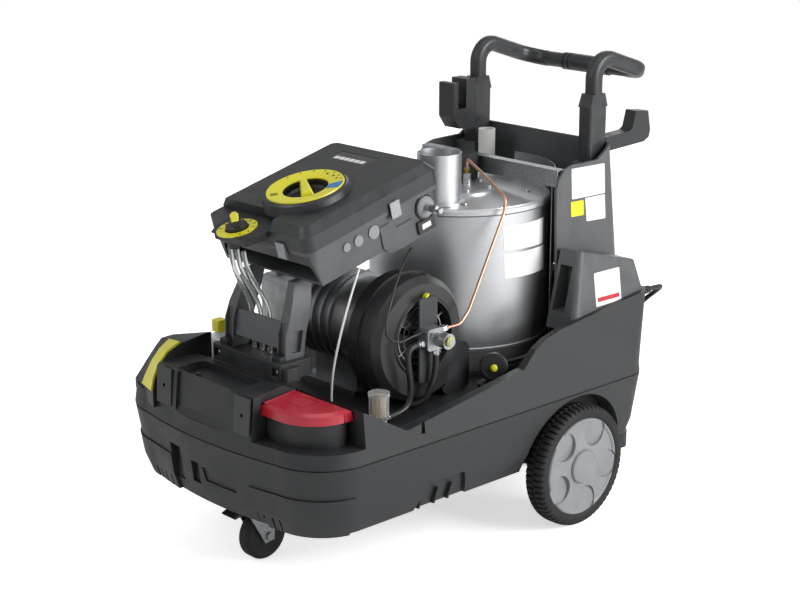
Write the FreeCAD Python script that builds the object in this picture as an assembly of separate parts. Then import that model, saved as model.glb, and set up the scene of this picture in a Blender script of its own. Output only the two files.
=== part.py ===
"""Hot-water pressure washer on wheels, its hood taken off: boiler, blower, pump set and controls."""
import FreeCAD, Part
import math
import os

V = FreeCAD.Vector

# Chassis and deck, in plan and in height
BODY_HALF = 307.0
BODY_FRONT = -537.5
BODY_REAR = 385.0
FRONT_BULGE = 19.0
FRONT_CORNER_R = 112.0
REAR_CORNER_R = 48.0
REAR_LEAN = 20.0
REAR_LEAN_Z = 297.0
PARTING_Z = 279.0
PARTING_GAP = 0.4
CHASSIS_BOTTOM_Z = 142.0
CHASSIS_TAPER = 27.0
CHASSIS_WALL = 7.0
BAY_ROOF = 13.0
DECK_TOP_Z = 460.0
DECK_TAPER = 17.0
DECK_WALL = 8.0
DECK_FLOOR_Z = 305.0
DECK_FLOOR_T = 6.0
RIM_WIDTH = 26.0
FRONT_TOP_Z = 387.0
SHELF_REAR_Y = -345.0
WELL_REAR_Y = 371.0

# Wheels and axle
WHEEL_R = 125.0
TYRE_W = 48.0
RIM_R = 100.0
WHEEL_FACE_X = 320.0
HUB_CAP_PROUD = 5.0
AXLE_Y = 171.0
AXLE_R = 10.0
RUNNING_GAP = 0.05
ARCH_GAP = 21.0
TREAD_LUGS = 30

# Caster
CASTER_R = 50.0
CASTER_W = 32.0
CASTER_PIVOT_Y = -432.0
CASTER_TRAIL = 37.0
CASTER_PLATE_T = 4.0
FORK_T = 3.0

# Boiler
BOILER_Y = 131.5
BOILER_R = 184.0
BOILER_TOP_Z = 645.0
BOILER_FOOT_Z = 318.0
LID_T = 14.0
FLUE_X = 50.0
FLUE_Y = 27.0
FLUE_R = 44.0
FLUE_TOP_Z = BOILER_TOP_Z + 100.0
FLANGE_R = 76.0
COIL_PIPE_R = 10.0

# Drive line: pump, motor and blower on one shaft
SHAFT_Y = -158.0
SHAFT_Z = 440.0
SHAFT_R = 8.0
SCROLL_R = 106.0
SCROLL_GROWTH = 26.0
SCROLL_X0 = 112.0
SCROLL_X1 = 200.0
INLET_R = 68.0
IMPELLER_R = 88.0
MOTOR_R = 84.0
MOTOR_X0 = -100.0

# Control box, built flat and then tilted
BOX_X = -5.0
BOX_FRONT_Y = -399.0
BOX_FRONT_Z = 662.0
BOX_TILT = 14.7
BOX_HALF_W = 146.0
BOX_LEN = 343.0
COVER_CROWN = 8.0
COVER_BEVEL = 14.0
COVER_DEPTH = 38.0
BASE_DEPTH = 116.0
BASE_REAR_V = BOX_LEN - 25.0
SELECTOR_U = 17.5
SELECTOR_V = 124.0
SELECTOR_R = 75.0
SELECTOR_H = 25.0
DOSING_U = -27.0
DOSING_V = -16.0
DOSING_R = 39.0

# Handle
UPRIGHT_X = 163.0
UPRIGHT_Y = 350.0
UPRIGHT_FRONT = 25.5
UPRIGHT_REAR = 26.5
BAR_Y = 519.0
BAR_R = 16.0
HANDLE_TOP_Z = 920.0
HANDLE_ARM_W = 30.0
HANDLE_ARM_H = 33.0
HANDLE_BEND_R = 38.0
HANDLE_CORNER_R = 50.0
HANDLE_SLOPE = 17.8
HANDLE_FOOT_Z = 700.0

# Rear housing and side pods
HOUSING_HALF = 205.0
HOUSING_FRONT_Y = 205.0
HOUSING_REAR_Y = 384.0
HOUSING_BACK_Z = 738.0
HOUSING_WALL = 6.0
HOUSING_FOOT_Z = 447.0

# Clearances: round a running or passing piece, and under a seated one
CLEAR = 0.3
SEAT = 0.3

# Side view of the deck's top edge, from front to rear
RIM_PROFILE = [(-416.0, 378.0), (-398.0, 372.0), (-300.0, 316.0), (-289.0, 316.0), (14.0, 359.0), (30.0, 374.0),
               (50.0, 391.0), (78.0, 405.0), (121.0, 416.0), (174.0, 422.0), (335.0, 440.0), (400.0, 446.0)]

# Fuel cap, its skewed inner edge and the filler neck
CAP_X0 = 116.0
CAP_X1 = 272.0
CAP_Y0 = -500.0
CAP_Y1 = -400.0
CAP_CORNER_R = 84.0
CAP_TOP_Z = 373.0
CAP_H = 21.0
CAP_WALL = 4.0
CAP_SKEW = 18.0
CAP_HINGE_R = 3.0
CAP_EDGE_GAP = 1.2
CAP_SWING_GAP = 4.2
NECK_X = 190.0
NECK_Y = -448.0
NECK_R = 30.0

# Left front pod with the detergent flap: side views at the pod's inner and outer face
POD_X_IN = -148.0
POD_X_OUT = -272.0
POD_IN = [(-404.0, 421.0), (-462.0, 413.0), (-492.0, 402.0), (-514.0, 380.0), (-528.0, 352.0), (-533.0, 330.0)]
POD_OUT = [(-402.0, 388.0), (-422.0, 387.0), (-439.0, 371.0), (-456.0, 353.0), (-472.0, 335.0), (-487.0, 319.0)]
POD_REAR_Y = -392.0
FLAP_X0 = -216.0
FLAP_X1 = -153.0
FLAP_T = 7.0
FLAP_PROUD = 5.0
FLAP_UNDERCUT = 1.6
FLAP_BACK_GAP = 0.8
FLAP_SIDE_GAP = 1.4

# Shelf: storage tray, hinge plates and the bottle behind the pod
TRAY_X0 = -98.0
TRAY_X1 = 76.0
TRAY_Y0 = -514.0
TRAY_Y1 = -448.0
TRAY_DEPTH = 14.0
HINGE_X = 117.0
HINGE_W = 44.0
HINGE_T = 3.0
HINGE_Z0 = 316.0
HINGE_HOLE_R = 4.0
HINGE_HOLE_Z = 352.0
BOTTLE_X = RIM_WIDTH + 45.0 - BODY_HALF
BOTTLE_Y = -305.0
BOTTLE_SHOULDER_Z = 372.0
BOTTLE_TOP_Z = 409.0

# Bracket under the control box
BEAM_X0 = -96.0
BEAM_X1 = 106.0
BEAM_Y0 = -430.0
BEAM_Y1 = -350.0
BEAM_TOP = 420.0
LEG_X = 78.0
LEG_W = 26.0

# Fittings of the control box, in its own flat frame
PLUGS = ((93.0, 8.5), (123.0, 10.5), (162.0, 13.0))
SPINDLE_V = BOX_LEN - 49.0
SPINDLE_W = -70.0
SPINDLE_R = 6.0
SPINDLE_END_R = 7.0
SPINDLE_END_L = 23.0
SPINDLE_TIP_L = 12.0
HOUR_V0 = BOX_LEN - 77.0
HOUR_W0 = -118.0
DISPLAY_U0 = -80.0
DISPLAY_V0 = BOX_LEN - 77.0
DISPLAY_W = 104.0
DISPLAY_H = 36.0
KNOB_SHAFT_R = 6.0
COVER_CORNER_R = 20.0

# Burner nozzle, fuel filter and heat shield
NOZZLE_Y = 156.0
FILTER_X = 228.0
FILTER_Y = -298.0
FILTER_Z = 322.0
SHIELD_R = BOILER_R + 10.0

# Flow switch on the deck beside the boiler
FLOW_X = BODY_HALF - 71.0

# Caster's crown and brake lever
FORK_TOP_Z = CHASSIS_BOTTOM_Z + 6.0 - CASTER_PLATE_T - 7.0 - 0.5
BRAKE_PIN_Y = CASTER_PIVOT_Y - 16.0
BRAKE_PIN_Z = FORK_TOP_Z - 22.0

# Mains cable: strain relief, route down behind the machine, coil on the floor and plug
STRAIN_X = 250.0
STRAIN_Y = 404.0
STRAIN_Z = 428.0
STRAIN_BOSS_R = 16.0
CABLE_R = 5.0
CABLE_ROUTE = [(250.0, 434.0, 428.0), (250.0, 478.0, 428.0), (234.0, 506.0, 418.0), (208.0, 521.0, 400.0),
               (180.0, 518.0, 376.0), (160.0, 503.0, 344.0), (150.0, 488.0, 302.0), (143.0, 479.0, 254.0),
               (135.0, 475.0, 204.0), (122.0, 475.0, 152.0), (101.0, 476.0, 104.0), (72.0, 478.0, 62.0),
               (34.0, 480.0, 30.0), (-10.0, 480.0, 11.0), (-60.0, 480.0, 5.3), (-112.0, 480.0, 5.2),
               (-165.0, 480.0, 5.2)]
COIL_X = -165.0
COIL_Y = 410.0
COIL_OUTER_R = 70.0
COIL_PITCH = 10.8
COIL_LAYER = 10.6
COIL_TURNS = 2.75
COIL_LAYERS = 4
FLOOR_LIFT = 0.2
TAIL = 120.0
PLUG_R = 19.0


def save(shape, name):
    """Write one node to its own file."""
    os.makedirs("parts", exist_ok=True)
    shape.exportStep("parts/" + name + ".step")
    print("{:24s} {:10.1f} cm3".format(name, shape.Volume / 1000.0))


def box(x0, x1, y0, y1, z0, z1):
    return Part.makeBox(x1 - x0, y1 - y0, z1 - z0, V(x0, y0, z0))


def rounded_box(x0, x1, y0, y1, z0, z1, r, axis="z"):
    """Box whose four edges along one axis are rounded."""
    solid = box(x0, x1, y0, y1, z0, z1)
    along = {"x": V(1, 0, 0), "y": V(0, 1, 0), "z": V(0, 0, 1)}[axis]
    edges = [e for e in solid.Edges if abs(e.tangentAt(e.FirstParameter).dot(along)) > 0.99]
    return solid.makeFillet(r, edges)


def polygon(points):
    wire = Part.makePolygon(points + [points[0]])
    return Part.Face(wire)


def prism_x(yz, x0, x1):
    """Solid from a profile in the YZ plane."""
    return polygon([V(x0, y, z) for y, z in yz]).extrude(V(x1 - x0, 0, 0))


def prism_z(xy, z0, z1):
    """Solid from a plan outline."""
    return polygon([V(x, y, z0) for x, y in xy]).extrude(V(0, 0, z1 - z0))


def cyl_x(r, x0, x1, y, z):
    return Part.makeCylinder(r, x1 - x0, V(x0, y, z), V(1, 0, 0))


def cyl_y(r, y0, y1, x, z):
    return Part.makeCylinder(r, y1 - y0, V(x, y0, z), V(0, 1, 0))


def cyl_z(r, z0, z1, x, y):
    return Part.makeCylinder(r, z1 - z0, V(x, y, z0), V(0, 0, 1))


def revolve_x(xr, y, z, angle=360.0):
    """Turned solid about a line along X; the profile is given as x and radius."""
    face = polygon([V(x, y, z + r) for x, r in xr])
    return face.revolve(V(0, y, z), V(1, 0, 0), angle)


def revolve_z(rz, x, y):
    """Turned solid about a vertical line; the profile is given as radius and height."""
    face = polygon([V(x + r, y, z) for r, z in rz])
    return face.revolve(V(x, y, 0), V(0, 0, 1), 360.0)


def rounded_path(points, share=0.45):
    """Straight runs joined by tangent arcs as large as the runs allow."""
    pts = [V(*p) for p in points]
    edges = []
    start = pts[0]
    radii = []
    for a, b, c in zip(pts, pts[1:], pts[2:]):
        u = (a - b).normalize()
        w = (c - b).normalize()
        cut = share * min(a.distanceToPoint(b), b.distanceToPoint(c))
        p = b + u * cut
        q = b + w * cut
        half = u.getAngle(w) / 2.0
        radii.append(cut * math.tan(half))
        if start.distanceToPoint(p) > 1e-4:
            edges.append(Part.LineSegment(start, p).toShape())
        out = (u + w).normalize()
        centre = b + out * (radii[-1] / math.sin(half))
        mid = centre - out * radii[-1]
        edges.append(Part.Arc(p, mid, q).toShape())
        start = q
    edges.append(Part.LineSegment(start, pts[-1]).toShape())
    return Part.Wire(edges), radii


def tube(points, r, bore=0.0, share=0.45):
    """Round tube along straight runs and tangent arcs."""
    wire, radii = rounded_path(points, share)
    first = V(*points[0])
    ahead = V(*points[1]) - first
    ring = Part.Wire(Part.makeCircle(r, first, ahead))
    solid = wire.makePipeShell([ring], True, False)
    if bore > 0.0:
        inner = Part.Wire(Part.makeCircle(bore, first, ahead))
        solid = solid.cut(wire.makePipeShell([inner], True, False))
    return solid


def body_outline(inset, z):
    """Plan of the body: bulged front, large front corners, small rear corners; its rear leans back above."""
    half = BODY_HALF - inset
    front = BODY_FRONT + inset
    rear = BODY_REAR - inset + (REAR_LEAN + inset) * max(z - REAR_LEAN_Z, 0.0) / (DECK_TOP_Z - REAR_LEAN_Z)
    rf = FRONT_CORNER_R - 0.5 * inset
    rr = max(REAR_CORNER_R - inset, 6.0)
    side_front = front + FRONT_BULGE
    k = math.sqrt(0.5)
    c1 = V(half - rf, side_front + rf, z)
    c2 = V(half - rr, rear - rr, z)
    a = V(-(half - rf), side_front, z)
    b = V(half - rf, side_front, z)
    edges = [
        Part.Arc(a, V(0, front, z), b).toShape(),
        Part.Arc(b, c1 + V(rf * k, -rf * k, 0), V(half, side_front + rf, z)).toShape(),
        Part.LineSegment(V(half, side_front + rf, z), V(half, rear - rr, z)).toShape(),
        Part.Arc(V(half, rear - rr, z), c2 + V(rr * k, rr * k, 0), V(half - rr, rear, z)).toShape(),
        Part.LineSegment(V(half - rr, rear, z), V(-(half - rr), rear, z)).toShape(),
        Part.Arc(V(-(half - rr), rear, z), V(-c2.x - rr * k, c2.y + rr * k, z),
                 V(-half, rear - rr, z)).toShape(),
        Part.LineSegment(V(-half, rear - rr, z), V(-half, side_front + rf, z)).toShape(),
        Part.Arc(V(-half, side_front + rf, z), V(-c1.x - rf * k, c1.y - rf * k, z), a).toShape(),
    ]
    return Part.Wire(edges)


def body_loft(levels):
    """Solid through the body's plan at several heights; each level is an inset and a height."""
    return Part.makeLoft([body_outline(inset, z) for inset, z in levels], True, True)


def both_sides(solid):
    """A piece and its mirror image across the centre plane."""
    return [solid, solid.mirror(V(0, 0, 0), V(1, 0, 0))]


def mirrored_pair(solid):
    return Part.makeCompound(both_sides(solid))


def box_frame(solid):
    """Tilt a solid from the control box's own flat frame into place."""
    out = solid.copy()
    out.rotate(V(0, 0, 0), V(1, 0, 0), BOX_TILT)
    out.translate(V(BOX_X, BOX_FRONT_Y, BOX_FRONT_Z))
    return out


# Lower chassis: an open moulded tray with wheel arches and a rear apron
def lower_chassis():
    outer = body_loft([(CHASSIS_TAPER, CHASSIS_BOTTOM_Z), (CHASSIS_TAPER * 0.55, CHASSIS_BOTTOM_Z + 34.0),
                       (0.0, PARTING_Z)])
    apron = rounded_box(-276.0, 276.0, 330.0, BODY_REAR - 14.0, 108.0, CHASSIS_BOTTOM_Z + 1.0, 20.0)
    outer = outer.fuse(apron)
    inner = body_loft([(CHASSIS_TAPER + CHASSIS_WALL, CHASSIS_BOTTOM_Z + CHASSIS_WALL),
                       (CHASSIS_TAPER * 0.55 + CHASSIS_WALL, CHASSIS_BOTTOM_Z + 36.0),
                       (CHASSIS_WALL, PARTING_Z + 1.0)])
    arch_r = WHEEL_R + ARCH_GAP
    arch_x = WHEEL_FACE_X - TYRE_W - 16.0
    for side in both_sides(box(arch_x - CHASSIS_WALL, BODY_HALF, AXLE_Y - arch_r - CHASSIS_WALL,
                               AXLE_Y + arch_r + CHASSIS_WALL, 0.0, PARTING_Z + 2.0)):
        inner = inner.cut(side)
    shell = outer.cut(inner)
    for side in both_sides(cyl_x(arch_r, arch_x, BODY_HALF + 20.0, AXLE_Y, WHEEL_R)):
        shell = shell.cut(side)
    # bearing blocks for the axle under the floor
    block = rounded_box(205.0, 240.0, AXLE_Y - 22.0, AXLE_Y + 22.0, WHEEL_R - 18.0,
                        CHASSIS_BOTTOM_Z + 2.0, 8.0, "x")
    for side in both_sides(block):
        shell = shell.fuse(side)
    for side in both_sides(cyl_x(AXLE_R + CLEAR, arch_x - 60.0, arch_x + 1.0, AXLE_Y, WHEEL_R)):
        shell = shell.cut(side)
    shell = shell.cut(cyl_x(AXLE_R + CLEAR, -260.0, 260.0, AXLE_Y, WHEEL_R))
    # caster bay: the floor is raised between the front corners
    bay = rounded_box(-150.0, 150.0, CASTER_PIVOT_Y - 46.0, CASTER_PIVOT_Y + 100.0,
                      CHASSIS_BOTTOM_Z - 1.0, CHASSIS_BOTTOM_Z + 6.0, 30.0)
    bay_roof = rounded_box(-157.0, 157.0, CASTER_PIVOT_Y - 53.0, CASTER_PIVOT_Y + 107.0,
                           CHASSIS_BOTTOM_Z + 3.0, CHASSIS_BOTTOM_Z + BAY_ROOF, 34.0)
    shell = shell.fuse(bay_roof).cut(bay)
    # stepped recess, slots and panel across the lower front
    recess = prism_z([(-240.0, BODY_FRONT - 20.0), (240.0, BODY_FRONT - 20.0), (210.0, BODY_FRONT + 30.0),
                      (-210.0, BODY_FRONT + 30.0)], CHASSIS_BOTTOM_Z - 1.0, 236.0)
    skin = body_loft([(CHASSIS_TAPER + 3.0, CHASSIS_BOTTOM_Z), (CHASSIS_TAPER * 0.55 + 3.0, CHASSIS_BOTTOM_Z + 34.0),
                      (3.0, PARTING_Z)])
    shell = shell.cut(recess.cut(skin))
    for x0, x1, z0, z1 in ((-196.0, -176.0, 165.0, 228.0), (-128.0, -106.0, 160.0, 205.0)):
        shell = shell.cut(box(x0, x1, BODY_FRONT - 20.0, BODY_FRONT + 32.0, z0, z1))
    for k in range(4):
        for side in both_sides(rounded_box(232.0 - 21.0 * k, 242.0 - 21.0 * k, BODY_FRONT - 30.0,
                                           -488.0 - 5.0 * k, CHASSIS_BOTTOM_Z - 2.0,
                                           CHASSIS_BOTTOM_Z + 34.0 - 5.0 * k, 3.0)):
            shell = shell.cut(side.cut(body_loft([(CHASSIS_TAPER + 5.0, CHASSIS_BOTTOM_Z - 2.0),
                                                  (CHASSIS_TAPER * 0.55 + 5.0, CHASSIS_BOTTOM_Z + 34.0),
                                                  (5.0, PARTING_Z)])))
    return shell


def cap_outline(grow, z):
    """Plan of the fuel cap: square inner corner, one large round outer corner."""
    k = math.sqrt(0.5)
    x0 = CAP_X0 - grow
    y1 = CAP_Y1 + grow
    x1 = CAP_X1 + grow
    y0 = CAP_Y0 - grow
    r = CAP_CORNER_R + grow
    centre = V(x1 - r, y0 + r, z)
    edges = [
        Part.LineSegment(V(x0, y1, z), V(x0 + CAP_SKEW, y0, z)).toShape(),
        Part.LineSegment(V(x0 + CAP_SKEW, y0, z), V(x1 - r, y0, z)).toShape(),
        Part.Arc(V(x1 - r, y0, z), centre + V(r * k, -r * k, 0), V(x1, y0 + r, z)).toShape(),
        Part.LineSegment(V(x1, y0 + r, z), V(x1, y1, z)).toShape(),
        Part.LineSegment(V(x1, y1, z), V(x0, y1, z)).toShape(),
    ]
    return Part.Face(Part.Wire(edges))


def pod_line(x, lift):
    """The pod's ridge line in side view at a given x, moved out of its surface by a lift."""
    t = (x - POD_X_IN) / (POD_X_OUT - POD_X_IN)
    out = []
    for (y0, z0), (y1, z1) in zip(POD_IN, POD_OUT):
        out.append((y0 + t * (y1 - y0) - 0.7 * lift, z0 + t * (z1 - z0) + 0.7 * lift))
    return out


def between(p, q, way):
    """Point a given way from p towards q, in side view."""
    share = way / math.hypot(q[0] - p[0], q[1] - p[1])
    return (p[0] + share * (q[0] - p[0]), p[1] + share * (q[1] - p[1]))


def flap_loft(x0, x1, lift, depth, back=0.0, undercut=0.0):
    """Curved strip over the pod's front, from the hinge line down to the lip; its end may reach back or be undercut."""
    wires = []
    for x in (x1, x0):
        line = pod_line(x, lift)
        deep = pod_line(x, lift - depth)
        line = [between(line[1], line[0], back)] + line[2:]
        deep = [between(deep[1], deep[0], back) if back > 0.0 else between(deep[1], deep[2], undercut)] + deep[2:]
        pts = [V(x, y, z) for y, z in line + deep[::-1]]
        wires.append(Part.makePolygon(pts + pts[:1]))
    return Part.makeLoft(wires, True, True)


# Upper deck: moulded tray with a raised rear, a front shelf and two front pods
def upper_deck():
    z0 = PARTING_Z + PARTING_GAP
    outer = body_loft([(0.0, z0), (2.0, REAR_LEAN_Z), (DECK_TAPER, DECK_TOP_Z)])
    profile = [(BODY_FRONT - 30.0, z0 - 5.0), (BODY_FRONT - 30.0, FRONT_TOP_Z), (-430.0, FRONT_TOP_Z)]
    profile += RIM_PROFILE + [(BODY_REAR + 30.0, 446.0), (BODY_REAR + 30.0, z0 - 5.0)]
    deck = outer.common(prism_x(profile, -400.0, 400.0))
    # well behind the front shelf, open above
    rim = RIM_WIDTH
    well = rounded_box(-BODY_HALF + rim, BODY_HALF - rim, SHELF_REAR_Y + 14.0, WELL_REAR_Y, DECK_FLOOR_Z,
                       DECK_TOP_Z + 10.0, 30.0)
    deck = deck.cut(well)
    # hollow underside below the floor, the rim and the shelf
    under = body_loft([(DECK_WALL, z0 - 1.0), (DECK_WALL, DECK_FLOOR_Z - DECK_FLOOR_T)])
    deck = deck.cut(under)
    hollow = body_loft([(DECK_WALL + 4.0, DECK_FLOOR_Z - DECK_FLOOR_T - 1.0), (DECK_WALL + 12.0, 350.0)])
    hollow = hollow.common(box(-150.0, 108.0, BODY_FRONT, SHELF_REAR_Y, 200.0, 350.0))
    deck = deck.cut(hollow)
    # left pod: the front corner is cleared first, then the pod stands in it
    deck = deck.cut(box(-BODY_HALF - 5.0, POD_X_IN, BODY_FRONT - 30.0, POD_REAR_Y, 318.0, FRONT_TOP_Z + 60.0))
    wires = []
    for x in (POD_X_IN, POD_X_OUT):
        line = pod_line(x, 0.0)
        pts = [V(x, y, z) for y, z in line]
        pts = [V(x, POD_REAR_Y, 300.0), V(x, POD_REAR_Y, line[0][1])] + pts + [V(x, line[-1][0], 300.0)]
        wires.append(Part.makePolygon(pts + pts[:1]))
    deck = deck.fuse(Part.makeLoft(wires, True, True))
    # seat and bay under the detergent flap
    deck = deck.cut(flap_loft(FLAP_X0 - FLAP_SIDE_GAP, FLAP_X1 + FLAP_SIDE_GAP, 30.0,
                              30.0 - FLAP_PROUD + FLAP_T + SEAT, FLAP_BACK_GAP))
    bay = rounded_box(FLAP_X0 + 8.0, FLAP_X1 - 8.0, -498.0, -452.0, 330.0, 440.0, 8.0)
    deck = deck.cut(bay)
    # storage tray in the shelf, open above
    tray = rounded_box(TRAY_X0, TRAY_X1, TRAY_Y0, TRAY_Y1, FRONT_TOP_Z - TRAY_DEPTH, FRONT_TOP_Z + 30.0, 8.0)
    deck = deck.cut(tray)
    deck = deck.fuse(cyl_z(5.0, FRONT_TOP_Z - TRAY_DEPTH - 0.5, FRONT_TOP_Z - 5.0, -56.0, -492.0))
    # panel recess in the middle of the front
    panel = prism_x([(-560.0, 309.0), (-532.0, 309.0), (-524.0, 322.0), (-518.0, FRONT_TOP_Z + 1.0),
                     (-560.0, FRONT_TOP_Z + 1.0)], -80.0, 74.0)
    deck = deck.cut(panel)
    # flats for the two hinge plates
    for x in (-HINGE_X, HINGE_X):
        deck = deck.cut(hinge_plate(x, 0.4)).cut(cyl_y(HINGE_HOLE_R + 1.0, -560.0, -490.0, x, HINGE_HOLE_Z))
    # round corner under the fuel cap, cut back so that fingers reach the cap's edge
    corner = box(CAP_X0 + 22.0, 330.0, BODY_FRONT - 20.0, CAP_Y1 + 1.0, 306.0, 460.0)
    core = cap_outline(-9.0, 290.0).extrude(V(0, 0, CAP_TOP_Z - CAP_H - SEAT - 290.0))
    deck = deck.cut(corner.cut(core))
    slot_z = CAP_TOP_Z - CAP_H - SEAT
    deck = deck.cut(cap_outline(CAP_EDGE_GAP, slot_z).extrude(V(0, 0, 120.0)))
    # room for the cap's inner corner, which swings back as the cap is lifted
    deck = deck.cut(box(CAP_X0 + 4.0, CAP_X0 + 34.0, CAP_Y1, CAP_Y1 + CAP_SWING_GAP, slot_z, slot_z + 120.0))
    # filler neck passes through, with the neck's own clearance
    deck = deck.cut(cyl_z(NECK_R + CLEAR, 270.0, 380.0, NECK_X, NECK_Y))
    # boss for the cable's strain relief on the rear face
    deck = deck.fuse(cyl_y(STRAIN_BOSS_R, BODY_REAR, STRAIN_Y, STRAIN_X, STRAIN_Z))
    # slot in the right rim
    return deck.cut(box(BODY_HALF - 9.0, BODY_HALF + 5.0, -263.0, -254.0, 300.0, 325.0))


def hinge_plate(x, grow):
    """Upright plate that the hood's hinge bolts to, leaning with the front wall."""
    w = HINGE_W / 2.0 + grow
    top = FRONT_TOP_Z
    return prism_x([(-560.0, HINGE_Z0 - grow), (-528.0 + grow, HINGE_Z0 - grow), (-524.0 + grow, top + grow * 10.0),
                    (-560.0, top + grow * 10.0)], x - w, x + w)


def hinge_plates():
    out = []
    for x in (-HINGE_X, HINGE_X):
        w = HINGE_W / 2.0
        plate = prism_x([(-528.0 - HINGE_T, HINGE_Z0), (-528.0, HINGE_Z0), (-524.0, FRONT_TOP_Z),
                         (-524.0 - HINGE_T, FRONT_TOP_Z)], x - w, x + w)
        out.append(plate.cut(cyl_y(HINGE_HOLE_R, -560.0, -500.0, x, HINGE_HOLE_Z)))
    return Part.makeCompound(out)


def fuel_tank():
    z0 = CHASSIS_BOTTOM_Z + BAY_ROOF + SEAT
    tank = rounded_box(20.0, 250.0, -470.0, -60.0, z0, PARTING_Z - 6.0, 26.0)
    tank = tank.cut(rounded_box(24.0, 246.0, -466.0, -64.0, z0 + 4.0, PARTING_Z - 10.0, 22.0))
    neck_top = CAP_TOP_Z - CAP_H + 6.0
    neck = cyl_z(NECK_R, PARTING_Z - 7.0, neck_top, NECK_X, NECK_Y)
    tank = tank.fuse(neck).cut(cyl_z(NECK_R - 3.0, PARTING_Z - 12.0, neck_top + 1.0, NECK_X, NECK_Y))
    return tank


def detergent_tank():
    z0 = CHASSIS_BOTTOM_Z + BAY_ROOF + SEAT
    tank = rounded_box(-250.0, -20.0, -470.0, -150.0, z0, PARTING_Z - 6.0, 26.0)
    tank = tank.cut(rounded_box(-246.0, -24.0, -466.0, -154.0, z0 + 4.0, PARTING_Z - 10.0, 22.0))
    return tank


def fuel_cap():
    """Hinged filler cap: square inner corner, round outer skirt with grip ridges."""
    z0 = CAP_TOP_Z - CAP_H
    outer = Part.makeLoft([cap_outline(0.0, z0).OuterWire, cap_outline(-1.5, CAP_TOP_Z - 5.0).OuterWire,
                           cap_outline(-9.0, CAP_TOP_Z).OuterWire], True, True)
    inner = cap_outline(-CAP_WALL, z0 - 1.0).extrude(V(0, 0, CAP_H - CAP_WALL - 4.0))
    cap = outer.cut(inner)
    for k in range(3):
        y = CAP_Y1 - 20.0 - 17.0 * k
        cap = cap.cut(box(CAP_X1 - 2.2, CAP_X1 + 2.0, y - 1.2, y + 1.2, z0 - 1.0, CAP_TOP_Z - 4.0))
    groove = box(160.0, 204.0, -462.0, -420.0, CAP_TOP_Z - 1.0, CAP_TOP_Z + 1.0)
    groove = groove.cut(box(162.0, 202.0, -460.0, -422.0, CAP_TOP_Z - 2.0, CAP_TOP_Z + 2.0))
    # hinge barrel along the skewed inner edge
    edge = V(CAP_SKEW, CAP_Y0 - CAP_Y1, 0)
    length = edge.Length
    along = edge * (1.0 / length)
    start = V(CAP_X0, CAP_Y1, CAP_TOP_Z - CAP_HINGE_R) + V(-along.y, along.x, 0) * CAP_HINGE_R + along * 8.0
    barrel = Part.makeCylinder(CAP_HINGE_R, length - 16.0, start, along)
    return cap.cut(groove).fuse(barrel)


def detergent_flap():
    return flap_loft(FLAP_X0, FLAP_X1, FLAP_PROUD, FLAP_T, 0.0, FLAP_UNDERCUT)


def softener_bottle():
    """Bottle of water-care liquid, standing in the tray behind the left pod."""
    z0 = DECK_FLOOR_Z + SEAT
    bottle = rounded_box(BOTTLE_X - 34.0, BOTTLE_X + 56.0, BOTTLE_Y - 18.0, BOTTLE_Y + 44.0, z0,
                         BOTTLE_SHOULDER_Z, 12.0)
    neck = cyl_z(10.0, BOTTLE_SHOULDER_Z - 1.0, BOTTLE_TOP_Z - 20.0, BOTTLE_X, BOTTLE_Y)
    cap = rounded_box(BOTTLE_X - 11.0, BOTTLE_X + 11.0, BOTTLE_Y - 11.0, BOTTLE_Y + 11.0, BOTTLE_TOP_Z - 23.0,
                      BOTTLE_TOP_Z, 3.0)
    return bottle.fuse([neck, cap])


# Control box on its bracket
def control_bracket():
    """Beam with end blocks, two legs leaning back up to the box, and a cross plate between them."""
    z0 = FRONT_TOP_Z + SEAT
    beam = rounded_box(BEAM_X0, BEAM_X1, BEAM_Y0, BEAM_Y1, z0, BEAM_TOP, 6.0)
    beam = beam.cut(rounded_box(BEAM_X0 + 20.0, BEAM_X1 - 22.0, BEAM_Y0 + 12.0, BEAM_Y1 - 12.0, BEAM_TOP - 9.0,
                                BEAM_TOP + 5.0, 5.0))
    block = rounded_box(BEAM_X1 - 3.0, BEAM_X1 + 12.0, BEAM_Y0 + 6.0, BEAM_Y0 + 42.0, z0, BEAM_TOP - 7.0, 5.0)
    pieces = [block]
    for side in (-1.0, 1.0):
        x0 = side * LEG_X - LEG_W / 2.0
        leg = prism_x([(-404.0, BEAM_TOP - 9.5), (-360.0, BEAM_TOP - 9.5), (-352.0, 470.0), (-338.0, 528.0),
                       (-312.0, 580.0), (-368.0, 570.0), (-380.0, 520.0), (-402.0, 466.0)], x0, x0 + LEG_W)
        pocket = prism_x([(-394.0, BEAM_TOP + 6.0), (-368.0, BEAM_TOP + 6.0), (-360.0, 472.0), (-350.0, 520.0),
                          (-370.0, 520.0), (-392.0, 464.0)], x0 - 1.0, x0 + LEG_W - 4.0)
        pieces.append(leg.cut(pocket))
        pieces.append(rounded_box(x0 + 2.0, x0 + LEG_W - 2.0, BEAM_Y0 + 14.0, BEAM_Y0 + 36.0, BEAM_TOP - 9.5,
                                  BEAM_TOP + 8.0, 4.0))
    plate = prism_x([(-398.0, 436.0), (-393.0, 434.0), (-384.0, 484.0), (-389.0, 486.0)],
                    -LEG_X, LEG_X)
    ledge = prism_x([(-389.0, 481.0), (-382.5, 480.0), (-382.5, 484.0), (-389.0, 486.0)], -LEG_X, LEG_X)
    out = beam.fuse(pieces + [plate, ledge])
    return out.cut(lower_box_solid(0.4))


def lower_box_solid(grow):
    """Envelope of the control box's base, for pieces that seat against it."""
    w = BOX_HALF_W - 5.0 + grow
    base = prism_x([(8.0, -COVER_DEPTH), (BOX_LEN - 8.0, -COVER_DEPTH), (BOX_LEN - 10.0, -BASE_DEPTH - 8.0 - grow),
                    (200.0, -BASE_DEPTH - 8.0 - grow), (170.0, -BASE_DEPTH + 6.0 - grow),
                    (14.0, -BASE_DEPTH + 6.0 - grow)], -w, w)
    return box_frame(base)


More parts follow.
